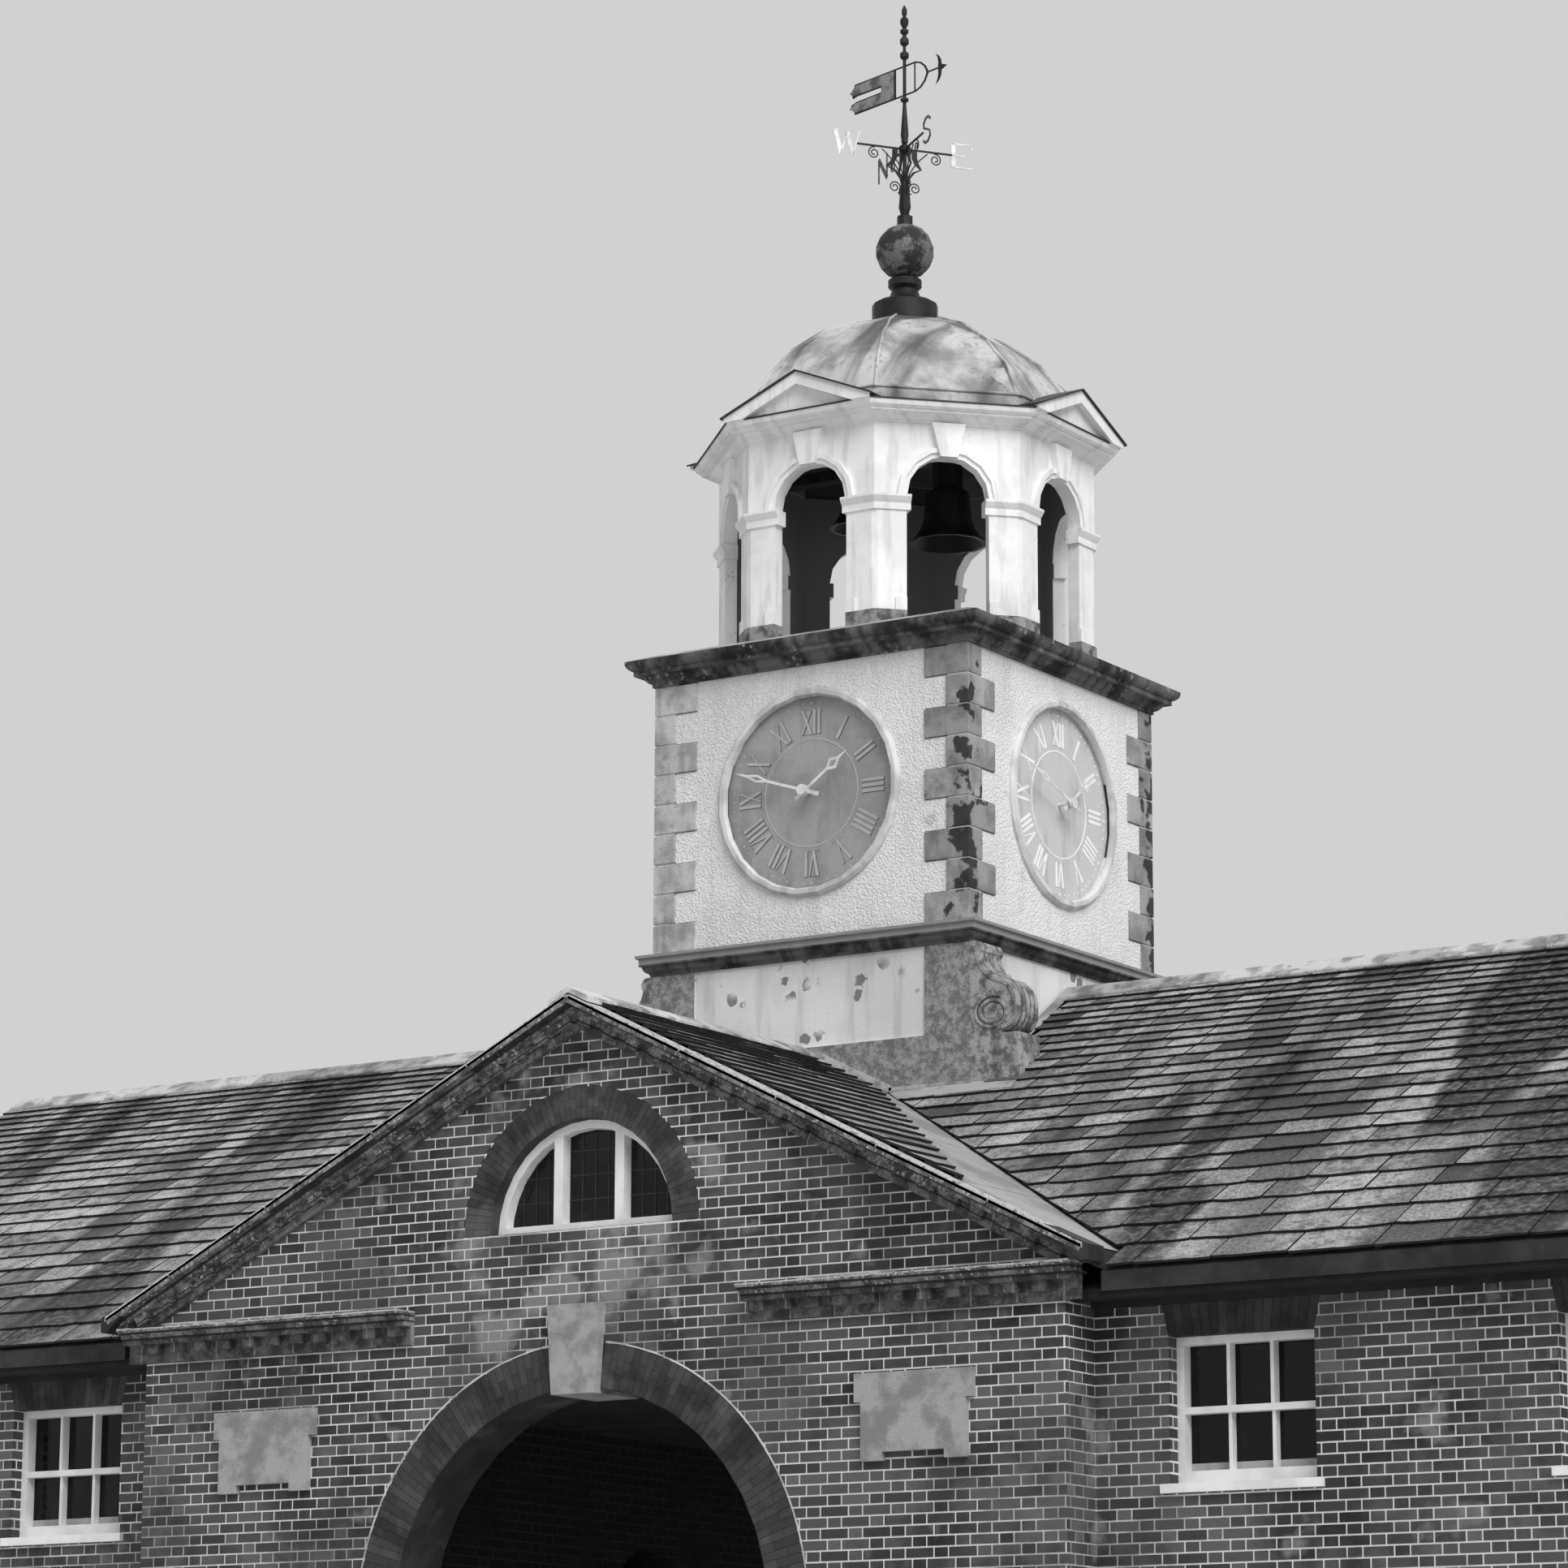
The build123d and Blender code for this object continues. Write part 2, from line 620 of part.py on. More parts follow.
def sill_block(x, sill):
    """A projecting stone sill under one window."""
    half = WINDOW_WIDTH / 2 + SILL_HORN
    return block(x - half, x + half, -WING_HALF_DEPTH - SILL_REACH, -WING_HALF_DEPTH + SASH_SETBACK,
                 sill - SILL_HEIGHT, sill)


def party_walls():
    """The plain end walls, a little inside the ends of the roof."""
    high = main_under(WING_HALF_DEPTH)
    shape = outline((-WING_HALF_DEPTH, 0), (WING_HALF_DEPTH, 0), (WING_HALF_DEPTH, high),
                    (0, main_under(0)), (-WING_HALF_DEPTH, high))
    wall = along_x(shape, WING_END - WING_WALL, WING_END - PARTY_SETBACK)
    return [wall, mirror_x(wall)]


def window_sills():
    """Every window's sill."""
    return [copy for x, sill, head in window_places() for copy in four_quarters(sill_block(x, sill))]


def window_lintels():
    """Every window's gauged flat arch, as deep as the outer leaf."""
    made = []
    for x, sill, head in window_places():
        lintel = along_y(lintel_face(x, head), -WING_HALF_DEPTH, -WING_HALF_DEPTH + SASH_SETBACK)
        made += four_quarters(lintel)
    return made


def sash_frames():
    """Each window's boxed frame with its meeting rail and bottom rail."""
    made = []
    half = WINDOW_WIDTH / 2
    front = -WING_HALF_DEPTH + SASH_SETBACK
    for x, sill, head in window_places():
        frame = block(x - half, x + half, front, front + SASH_DEPTH, sill, head)
        middle = (sill + head) / 2
        left, right = x - half + SASH_STILE, x + half - SASH_STILE
        frame -= block(left, right, -BIG, 0, sill + BOTTOM_RAIL, middle - MEETING_RAIL / 2)
        frame -= block(left, right, -BIG, 0, middle + MEETING_RAIL / 2, head - SASH_STILE)
        made += four_quarters(frame)
    return made


def window_glass():
    """One pane behind each frame."""
    made = []
    half = WINDOW_WIDTH / 2
    back = -WING_HALF_DEPTH + SASH_SETBACK + SASH_DEPTH
    for x, sill, head in window_places():
        made += four_quarters(block(x - half, x + half, back, back + GLASS_THICK, sill, head))
    return made


def eaves_bands():
    """The boxed timber eaves under the slates of each wing."""
    low = UPPER_HEAD + LINTEL_HEIGHT
    y = -WING_HALF_DEPTH
    edge = -EAVES_EDGE + EAVES_INSET
    top = main_under(edge)
    section = outline((y, low), (y, main_under(y)), (edge, top), (edge, top - 60), (edge + 50, top - 75),
                      (y - 120, low + 60), (y - 60, low + 60, 20), (y - 45, low))
    return four_quarters(along_x(section, PAVILION_HALF, WING_END))


# Roofs
def main_roof(side):
    """The wings' slopes on one side of the ridge, stopped at the valleys and the tower."""
    section = outline((-EAVES_EDGE, EAVES), (0, RIDGE), (0, RIDGE - ROOF_DROP),
                      (-EAVES_EDGE, EAVES - ROOF_DROP))
    slope = along_x(section, 0, WING_END)
    plan = outline((PLINTH_HALF, 0), (WING_END, 0), (WING_END, -EAVES_EDGE), (RAKE_FOOT_X, -EAVES_EDGE),
                   (RAKE_FOOT_X, -valley_y(RAKE_FOOT_X)), (valley_x(PLINTH_HALF), -PLINTH_HALF),
                   (PLINTH_HALF, -PLINTH_HALF))
    right = slope & along_z(plan, 0, BIG)
    both = [right, mirror_x(right)]
    return both if side < 0 else [mirror_y(piece) for piece in both]


def pavilion_roof(side):
    """The slopes on one side of the pavilion's ridge, front and rear."""
    section = outline((0, PEDIMENT_APEX), (RAKE_FOOT_X, RAKE_FOOT), (RAKE_FOOT_X, RAKE_FOOT - ROOF_DROP),
                      (0, PEDIMENT_APEX - ROOF_DROP))
    slope = along_y(section, -PAVILION_FRONT, 0)
    plan = outline((0, -PAVILION_FRONT), (0, -PLINTH_HALF), (valley_x(PLINTH_HALF), -PLINTH_HALF),
                   (RAKE_FOOT_X, -valley_y(RAKE_FOOT_X)), (RAKE_FOOT_X, -PAVILION_FRONT))
    right = slope & along_z(plan, 0, BIG)
    front = right if side > 0 else mirror_x(right)
    return [front, mirror_y(front)]


# Tower
def square_tube(half, wall, z0, z1):
    """Four walls round the tower's axis."""
    inner = half - wall
    return block(-half, half, -half, half, z0, z1) - block(-inner, inner, -inner, inner, z0, z1)


def tower_base():
    """The base stage, from the floor over the passage up to the belt course."""
    low = PASSAGE_CEILING + FLOOR_THICK
    walls = square_tube(RENDER_HALF, TOWER_WALL, low, BELT_BOTTOM)
    plinth = square_tube(PLINTH_HALF, TOWER_WALL, low, PLINTH_TOP)
    base = walls + plinth
    start = TOWER_HALF - PILASTER_WIDTH
    for turn in range(4):
        corner = block(start, TOWER_HALF, start, TOWER_HALF, PLINTH_TOP, BELT_BOTTOM)
        corner -= block(0, RENDER_HALF - TOWER_WALL, 0, RENDER_HALF - TOWER_WALL, PLINTH_TOP, BELT_BOTTOM)
        base += turned(corner, 90 * turn)
    return base


def console_outline():
    """The scroll console's side, drawn as (x, z) on the tower's right flank."""
    x = TOWER_HALF
    roll = BELT_BOTTOM - CONSOLE_ROLL
    foot = CONSOLE_BLOCK_TOP + CONSOLE_CAP
    return outline((x, roll), (x + 78, roll - 25), (x + 232, roll - 234, -38),
                   (x + CONSOLE_REACH, roll - 480, 62), (x + CONSOLE_NECK, foot, 48),
                   (x + PLINTH_REACH, foot), (x + PLINTH_REACH, PLINTH_TOP),
                   (x, PLINTH_TOP), chords=4)


def scroll_consoles():
    """The four scrolled brackets against the tower's flanks."""
    x = TOWER_HALF
    y = -TOWER_HALF
    scroll = along_y(console_outline(), y, y + CONSOLE_WIDTH)
    roll = outline((x, BELT_BOTTOM - 2 * CONSOLE_ROLL), (x + 45, BELT_BOTTOM - 2 * CONSOLE_ROLL),
                   (x + 45, BELT_BOTTOM, -CONSOLE_ROLL), (x, BELT_BOTTOM), chords=5)
    scroll += along_y(roll, y, y + CONSOLE_WIDTH)
    cap = CONSOLE_BLOCK_TOP + CONSOLE_CAP
    scroll += block(PLINTH_HALF, x + CONSOLE_REACH + 10, y, y + CONSOLE_WIDTH, CONSOLE_BLOCK_BOTTOM,
                    CONSOLE_BLOCK_TOP)
    scroll += block(PLINTH_HALF, x + CONSOLE_NECK, y, y + CONSOLE_WIDTH, CONSOLE_BLOCK_TOP, cap)
    roof = outline((0, RIDGE), (-EAVES_EDGE, EAVES), (-EAVES_EDGE, 0), (0, 0))
    scroll -= along_x(roof, 0, WING_END)
    return four_quarters(scroll)


def string_course():
    """The moulded belt between the two stages."""
    inner = TOWER_HALF - TOWER_WALL
    z = BELT_BOTTOM
    h = BELT_HEIGHT
    t = TOWER_HALF
    r = BELT_REACH
    section = [(inner, z), (t + 10, z), (t + 18, z + h * 0.12), (t + r * 0.6, z + h * 0.45, -12),
               (t + r * 0.78, z + h * 0.45), (t + r * 0.78, z + h * 0.75), (t + r, z + h * 0.82),
               (t + r, z + h * 0.95), (t, z + h), (inner, z + h)]
    return swung(bent(section), 4)


def quoin_stack():
    """One corner's toothed stack of dressed stones."""
    course = (CORNICE_BOTTOM - BELT_TOP) / QUOIN_COURSES
    stack = None
    for index in range(QUOIN_COURSES):
        along, across = (QUOIN_LONG, QUOIN_SHORT) if index % 2 == 0 else (QUOIN_SHORT, QUOIN_LONG)
        z = BELT_TOP + index * course
        stone = block(TOWER_HALF - along, TOWER_HALF, -TOWER_HALF, -TOWER_HALF + across, z, z + course)
        stack = stone if stack is None else stack + stone
    return stack


def quoins():
    """The four corner stacks."""
    return four_quarters(quoin_stack())


def clock_stage_walls():
    """The rendered walls round the four dials."""
    walls = square_tube(RENDER_HALF, TOWER_WALL, BELT_TOP, CORNICE_BOTTOM)
    for stack in quoins():
        walls -= stack
    disc = swung([(0, -BIG / 2), (DIAL_RADIUS, -BIG / 2), (DIAL_RADIUS, BIG / 2), (0, BIG / 2)], DIAL_SIDES)
    hole = Pos(0, 0, DIAL_HEIGHT) * (Rot(90, 0, 0) * disc)
    return walls - hole - turned(hole, 90)


def dial_rings():
    """The moulded stone rings round the dials."""
    inner = DIAL_RADIUS - 15
    outer = DIAL_RADIUS + DIAL_RING_WIDTH
    reach = DIAL_RING_REACH
    section = [(inner, 0), (outer, 0), (outer, reach * 0.5), (outer - 22, reach), (inner + 14, reach),
               (inner, reach * 0.4)]
    ring = Pos(0, -RENDER_HALF, DIAL_HEIGHT) * (Rot(90, 0, 0) * swung(section, DIAL_SIDES))
    return [turned(ring, 90 * turn) for turn in range(4)]


def dials():
    """The four dial plates, each with a hole for its arbors."""
    bore = HOUR_ARBOR + ARBOR_CLEARANCE
    disc = swung([(0, 0), (DIAL_RADIUS, 0), (DIAL_RADIUS, DIAL_THICK), (0, DIAL_THICK)], DIAL_SIDES)
    plate = Rot(90, 0, 0) * disc - rod(bore, -DIAL_THICK - 1, 1)
    plate = Pos(0, -RENDER_HALF + DIAL_SETBACK + DIAL_THICK, DIAL_HEIGHT) * plate
    return [turned(plate, 90 * turn) for turn in range(4)]


def main_cornice():
    """The crowning cornice of the clock stage."""
    inner = TOWER_HALF - TOWER_WALL
    z = CORNICE_BOTTOM
    h = CORNICE_HEIGHT
    t = TOWER_HALF
    r = CORNICE_REACH
    section = [(inner, z), (t + r * 0.08, z), (t + r * 0.08, z + h * 0.12),
               (t + r * 0.42, z + h * 0.42, -10), (t + r * 0.70, z + h * 0.42),
               (t + r * 0.70, z + h * 0.62), (t + r * 0.76, z + h * 0.62),
               (t + r, z + h * 0.88, -8), (t + r, z + h), (inner, z + h)]
    return swung(bent(section), 4)


def tower_deck():
    """The lead flat, raised towards the cupola."""
    edge = TOWER_HALF + CORNICE_REACH
    seat = CUPOLA_APOTHEM + CUPOLA_FOOT_REACH
    return swung([(0, CORNICE_TOP), (edge, CORNICE_TOP), (seat, DECK_TOP), (0, DECK_TOP)], 4)


# Cupola
def octagon_half(apothem):
    """Half a side of the octagon at this distance from the axis."""
    return apothem * tan(pi / 8)


def octagon_prism(apothem, chamfer, z0, z1):
    """An octagonal block with a narrow flat on each arris."""
    face = along_z(RegularPolygon(apothem, 8, major_radius=False, rotation=22.5), z0, z1)
    back = apothem / cos(pi / 8) - chamfer / 2 / tan(radians(67.5))
    flats = along_z(RegularPolygon(back, 8, major_radius=False), z0, z1)
    return face & flats


def cupola_shell(outer, inner, chamfer, z0, z1):
    """The wall of the cupola between two apothems."""
    return octagon_prism(outer, chamfer, z0, z1) - octagon_prism(inner, 0.001, z0 - 1, z1 + 1)


def pier_cut(shape):
    """Leave of an octagonal ring only the eight piers between the openings."""
    for turn in range(4):
        gap = block(-CUPOLA_OPENING_HALF, CUPOLA_OPENING_HALF, -BIG, BIG, 0, BIG)
        shape -= turned(gap, 45 * turn)
    return shape


def cupola_feet():
    """The stone blocks under the piers, with a small block at each jamb."""
    low = cupola_shell(CUPOLA_APOTHEM + CUPOLA_FOOT_REACH, CUPOLA_APOTHEM - CUPOLA_WALL, CUPOLA_CHAMFER,
                       DECK_TOP, DECK_TOP + CUPOLA_FOOT_HEIGHT)
    return pier_cut(low)


def cupola_piers():
    """The eight corner piers up to the imposts, each with its small jamb blocks."""
    z0 = DECK_TOP + CUPOLA_FOOT_HEIGHT
    piers = cupola_shell(CUPOLA_APOTHEM, CUPOLA_APOTHEM - CUPOLA_WALL, CUPOLA_CHAMFER, z0, IMPOST_BOTTOM)
    jamb = cupola_shell(CUPOLA_APOTHEM + CUPOLA_FOOT_REACH, CUPOLA_APOTHEM - CUPOLA_WALL, CUPOLA_CHAMFER,
                        z0, z0 + JAMB_BLOCK_HEIGHT)
    keep = None
    edge = CUPOLA_OPENING_HALF + JAMB_BLOCK_WIDTH
    for turn in range(8):
        strip = turned(block(-edge, edge, -BIG, 0, 0, BIG), 45 * turn)
        keep = strip if keep is None else keep + strip
    return pier_cut(piers + (jamb & keep))


def cupola_imposts():
    """The moulded caps of the piers."""
    z = IMPOST_BOTTOM
    h = IMPOST_HEIGHT
    a = CUPOLA_APOTHEM
    r = IMPOST_REACH
    section = [(a - CUPOLA_WALL, z), (a + r * 0.3, z), (a + r * 0.3, z + h * 0.45),
               (a + r * 0.6, z + h * 0.6), (a + r, z + h * 0.84), (a + r, z + h), (a - CUPOLA_WALL, z + h)]
    ring = swung(section, 8)
    narrow = CUPOLA_OPENING_HALF - IMPOST_JAMB
    for turn in range(4):
        ring -= turned(block(-narrow, narrow, -BIG, BIG, 0, BIG), 45 * turn)
    return ring


def arcade_panel():
    """One side of the arcade over the imposts, with its archivolt and keystone."""
    a = CUPOLA_APOTHEM
    width = octagon_half(a)
    opening = CUPOLA_OPENING_HALF
    face = outline((-width, IMPOST_TOP), (width, IMPOST_TOP), (width, CUPOLA_WALL_TOP),
                   (-width, CUPOLA_WALL_TOP))
    face = face - half_disc(opening, 0, IMPOST_TOP, CUPOLA_ARCH_CHORDS)
    panel = along_y(face, -a, -a + CUPOLA_WALL)
    wedge = along_z(outline((0, 0), (-BIG * tan(pi / 8), -BIG), (BIG * tan(pi / 8), -BIG)), 0, BIG)
    panel = panel & wedge
    inner_band = arch_band(opening, opening + ARCHIVOLT / 2, IMPOST_TOP, CUPOLA_ARCH_CHORDS)
    outer_band = arch_band(opening + ARCHIVOLT / 2, opening + ARCHIVOLT, IMPOST_TOP, CUPOLA_ARCH_CHORDS)
    panel += along_y(inner_band, -a - ARCHIVOLT_REACH / 2, -a)
    panel += along_y(outer_band, -a - ARCHIVOLT_REACH, -a)
    low = IMPOST_TOP + opening - CUPOLA_KEY_DROP
    foot = CUPOLA_KEY_HALF_BOTTOM
    key = outline((-foot, low), (foot, low), (CUPOLA_KEY_HALF_TOP, CUPOLA_WALL_TOP),
                  (-CUPOLA_KEY_HALF_TOP, CUPOLA_WALL_TOP))
    panel += along_y(key, -a - CUPOLA_KEY_REACH, -a)
    panel += block(-foot, foot, -a, -a + CUPOLA_WALL, low, low + CUPOLA_KEY_TAIL)
    return panel


def cupola_cornice():
    """The cornice round all eight sides."""
    a = CUPOLA_APOTHEM
    z = CUPOLA_WALL_TOP
    h = CUPOLA_CORNICE_HEIGHT
    r = CUPOLA_CORNICE_REACH
    section = [(a - CUPOLA_WALL, z), (a + r * 0.10, z), (a + r * 0.10, z + h * 0.12),
               (a + r * 0.42, z + h * 0.46, -9), (a + r * 0.72, z + h * 0.46), (a + r * 0.72, z + h * 0.60),
               (a + r * 0.80, z + h * 0.60), (a + r, z + h * 0.92, -8), (a + r, z + h),
               (a - CUPOLA_WALL, z + h)]
    return swung(bent(section, 2), 8)


def cupola_pediments():
    """The four small pediments over the faces that look along the range and across it."""
    half = CUPOLA_PEDIMENT_HALF
    base = CUPOLA_CORNICE_TOP
    apex = base + CUPOLA_PEDIMENT_RISE
    slope = CUPOLA_PEDIMENT_RISE / half
    mould = CUPOLA_PEDIMENT_MOULD
    front = -CUPOLA_APOTHEM - CUPOLA_PEDIMENT_REACH
    solid = along_y(outline((-half, base), (half, base), (0, apex)), front, front + CUPOLA_PEDIMENT_DEPTH)
    inner = outline((-half + mould / slope, base), (half - mould / slope, base), (0, apex - mould))
    solid -= along_y(inner, front, front + CUPOLA_PEDIMENT_RECESS)
    sides = along_z(outline((0, 0), (-BIG * tan(pi / 8), -BIG), (BIG * tan(pi / 8), -BIG)), 0, BIG)
    solid = solid & sides
    return [turned(solid, 90 * turn) for turn in range(4)]


def dome_barrel(inset, extra, z0):
    """A vault as wide as the dome, drawn across X and carried along Y."""
    a = DOME_APOTHEM + extra - inset
    kerb = a + DOME_KERB
    top = DOME_TOP_HALF + extra - inset
    rise = DOME_TOP - inset
    face = outline((-kerb, z0), (kerb, z0), (kerb, DOME_SPRING), (a, DOME_SPRING), (top, rise, -DOME_BULGE),
                   (-top, rise), (-a, DOME_SPRING, -DOME_BULGE), (-kerb, DOME_SPRING), chords=DOME_CHORDS)
    return along_y(face, -BIG, BIG)


def dome_form(inset, z0):
    """The eight curved faces with the narrow hips between them."""
    faces = dome_barrel(inset, 0, z0)
    growth = DOME_APOTHEM * (1 / cos(pi / 8) - 1) - CUPOLA_CHAMFER / 2 / tan(radians(67.5))
    hips = dome_barrel(inset, growth, z0)
    form = faces & turned(faces, 45) & turned(faces, 90) & turned(faces, 135)
    for turn in range(4):
        form = form & turned(hips, 22.5 + 45 * turn)
    return form


def dome():
    """The lead-covered dome, open underneath, on its upright kerb."""
    shell = dome_form(0, CUPOLA_CORNICE_TOP) - dome_form(DOME_THICK, CUPOLA_CORNICE_TOP - 1)
    for pediment in cupola_pediments():
        shell -= pediment
    return shell


# Bells
def bell(x, drop, radius, height):
    """A bell with a flared lip and a round shoulder, and the headstock that hangs it from the beam."""
    wall = radius * BELL_WALL
    profile = bent([(0, height), (0, height - wall), (radius * 0.52 - wall, height - wall),
                    (radius * 0.63 - wall, height * 0.40), (radius - wall * 1.3, 0, -radius * 0.07),
                    (radius, 0), (radius * 0.63, height * 0.42, radius * 0.07),
                    (radius * 0.56, height * 0.86),
                    (radius * 0.40, height, -radius * 0.05)])
    lip = BEAM_BOTTOM - drop
    headstock = block(-radius * 0.35, radius * 0.35, -radius * 0.175, radius * 0.175, height, drop)
    return Pos(x, 0, lip) * (swung(profile, BELL_SIDES) + headstock)


def bell_beam():
    """The timber beam across the cupola that carries both bells."""
    half = CUPOLA_APOTHEM - CUPOLA_WALL
    return block(-half, half, -BEAM_WIDTH / 2, BEAM_WIDTH / 2, BEAM_BOTTOM, BEAM_BOTTOM + BEAM_HEIGHT)


# Finial, compass and vane
def finial_neck():
    """The trumpet-shaped iron neck on the dome."""
    flange = NECK_FLANGE_RADIUS
    top = NECK_HEIGHT
    profile = bent([(0, 0), (flange - 20, 0), (flange, 20), (flange, 220), (flange - 34, 244),
                    (105, top - 105, 34), (135, top - 78), (135, top - 22), (95, top), (0, top)])
    return Pos(0, 0, DOME_TOP) * swung(profile, BALL_SIDES)


def finial_ball():
    """The large ball, flattened where it sits on the neck and where the mast leaves it."""
    rise = BALL_RADIUS - BALL_FLAT
    flat = (BALL_RADIUS ** 2 - rise ** 2) ** 0.5
    profile = bent([(0, -rise), (flat, -rise), (flat, rise, flat - BALL_RADIUS), (0, rise)], 7)
    return Pos(0, 0, NECK_TOP + rise) * swung(profile, BALL_SIDES)


def mast():
    """The iron mast with its collars, up to the pivot that carries the vane."""
    r = MAST_RADIUS
    c = COMPASS_RISE
    top = c + VANE_RISE
    profile = [(0, 0), (60, 0), (60, 80), (30, 90), (47, 160), (34, 340), (20, 430), (r, 440), (r, c - 45),
               (r + HUB_REACH, c - 30), (r + HUB_REACH, c + 30), (r, c + 45), (26, c + 56), (26, c + 86),
               (31, c + 126), (14, c + 382), (14, top), (PIVOT_RADIUS, top),
               (PIVOT_RADIUS, top + PIVOT_HEIGHT), (0, top + PIVOT_HEIGHT)]
    return Pos(0, 0, BALL_TOP) * swung(profile, IRON_SIDES)


def compass_arm():
    """One arm with its scrolled bracket underneath, drawn along -Y."""
    c = COMPASS_HEIGHT
    half = ARM_SIZE / 2
    near = MAST_RADIUS + HUB_REACH - 2
    arm = block(-half, half, -COMPASS_REACH, -near, c - half, c + half)
    low = c - SCROLL_DROP
    root = MAST_RADIUS - 1
    belly = SCROLL_REACH
    bar = SCROLL_BAR
    curl = outline((root, low), (root + bar, low), (belly, c - SCROLL_DROP * 0.5, 34),
                   (belly * 0.72, c - half - bar * 0.4, 16), (belly * 0.62, c - half + 1),
                   (belly * 0.42, c - half + 1),
                   (belly - bar, c - SCROLL_DROP * 0.5, -30), (root, low + bar, -40))
    plane = Plane(origin=(-bar / 2, 0, 0), x_dir=(0, -1, 0), z_dir=(-1, 0, 0))
    return arm + extrude(plane * curl, amount=bar, dir=(1, 0, 0))


def compass_arms():
    """The hub with its four arms and brackets, turned as the compass stands."""
    rim = MAST_RADIUS + HUB_REACH + HUB_RIM
    high = HUB_HEIGHT / 2
    made = Pos(0, 0, COMPASS_HEIGHT) * swung([(0, -high), (rim, -high), (rim, high), (0, high)], IRON_SIDES)
    for turn in range(4):
        made += turned(compass_arm(), COMPASS_TURN + 90 * turn)
    return made - mast()


def vane_plate():
    """The flat ironwork of the vane, drawn as (along the arrow, up from the seat)."""
    low, high, bar = VANE_LOW, VANE_HIGH, VANE_BAR
    middle = (low + high) / 2
    tip = VANE_ARROW
    tail = -VANE_TAIL
    frame = outline((-220, low), (135, low), (290, middle, -30), (135, high, -30), (-220, high))
    frame = frame - outline((-221, low + bar), (128, low + bar), (270, middle, -28), (128, high - bar, -28),
                            (-221, high - bar))
    arrow = outline((265, middle - 6), (tip - 105, middle - 6), (tip - 132, middle - 130, 16),
                    (tip - 66, middle - 24, -20), (tip, middle), (tip - 66, middle + 24),
                    (tip - 132, middle + 130, -20), (tip - 105, middle + 6, 16), (265, middle + 6))
    banner = outline((-105, high), (tail + 70, high), (tail + 5, high - 65, 18),
                     (tail + 45, middle + 14, 12), (tail + 95, middle + 24),
                     (tail + 395, middle + 22), (tail + 395, middle - 22),
                     (tail + 90, middle - 24), (tail + 30, middle - 40), (tail, low + 60, 10),
                     (tail + 70, low, 18), (-105, low))
    post = outline((120, low + 2), (130, low + 2), (130, high - 2), (120, high - 2))
    return frame + arrow + banner + post


def vane():
    """The vane: sleeve, finial, arrow, bars and banner, all in one plane."""
    bore = PIVOT_RADIUS + SLEEVE_CLEARANCE
    cap = PIVOT_HEIGHT + 10
    sleeve = [(bore, SLEEVE_CLEARANCE), (33, SLEEVE_CLEARANCE), (33, 22), (14, 32), (14, 360), (36, 385),
              (36, 415), (13, 440), (13, 480), (36, 505), (36, 535), (12, 575), (34, 602),
              (34, 622), (12, 632), (34, 680), (34, 712), (12, 742), (22, 768), (20, 805), (4, 840),
              (0, 840), (0, cap), (bore, cap)]
    half = VANE_PLATE / 2
    hollow = swung([(0, 0), (bore, 0), (bore, cap), (0, cap)], IRON_SIDES)
    plate = along_y(vane_plate(), -half, half) - hollow
    made = swung(sleeve, IRON_SIDES) + plate
    return turned(Pos(0, 0, VANE_SEAT) * made, VANE_POINTS - 90)


# Clock hands
def hand_outline(length, width):
    """A pierced spear-shaped hand that points up, with its tail and boss, drawn as (x, z)."""
    w = width / 2
    stem = min(w * 0.4, 11)
    spear = outline((-stem, 0), (-stem, length * 0.52), (-w, length * 0.66), (-stem, length * 0.80),
                    (0, length), (stem, length * 0.80), (w, length * 0.66), (stem, length * 0.52), (stem, 0),
                    (stem * 1.6, -length * 0.22), (-stem * 1.6, -length * 0.22))
    eye = outline((-w * 0.45, length * 0.66), (0, length * 0.57), (w * 0.45, length * 0.66),
                  (0, length * 0.75))
    return spear - eye + RegularPolygon(HAND_BOSS, ROD_SIDES, major_radius=False)


def hand(outside, front, back, arbor, bore, reach, angle, turn):
    """One hand on its arbor, from its front plane to its back, at an angle clockwise from twelve."""
    flat = along_y(outside, -front, -front + HAND_THICK)
    flat += rod(arbor, -front, -back)
    if reach:
        flat += rod(HAND_BOSS, -front - reach, -front)
    if bore:
        flat -= rod(bore, -front - 1, -back + 1)
    return turned(Pos(0, 0, DIAL_HEIGHT) * (Rot(0, angle, 0) * flat), turn)


def clock_hands():
    """The minute and hour hands of the four dials, by name."""
    face = RENDER_HALF - DIAL_SETBACK
    back = face - DIAL_THICK - ARBOR_TAIL
    minute_angle = HAND_SHOWS_MINUTE * 6
    hour_angle = (HAND_SHOWS_HOUR + HAND_SHOWS_MINUTE / 60) * 30
    minute_shape = hand_outline(MINUTE_HAND, MINUTE_HAND_WIDTH)
    hour_shape = hand_outline(HOUR_HAND, HOUR_HAND_WIDTH)
    bore = MINUTE_ARBOR + ARBOR_CLEARANCE
    minute_front = face + MINUTE_STANDOFF
    hour_front = face + HOUR_STANDOFF
    made = {}
    for index, side in enumerate(("front", "right", "rear", "left")):
        turn = 90 * index
        made[f"{side}_minute_hand"] = hand(minute_shape, minute_front, back - ARBOR_TAIL, MINUTE_ARBOR, 0,
                                           BOSS_REACH, minute_angle, turn)
        made[f"{side}_hour_hand"] = hand(hour_shape, hour_front, back, HOUR_ARBOR, bore, 0, hour_angle, turn)
    return made


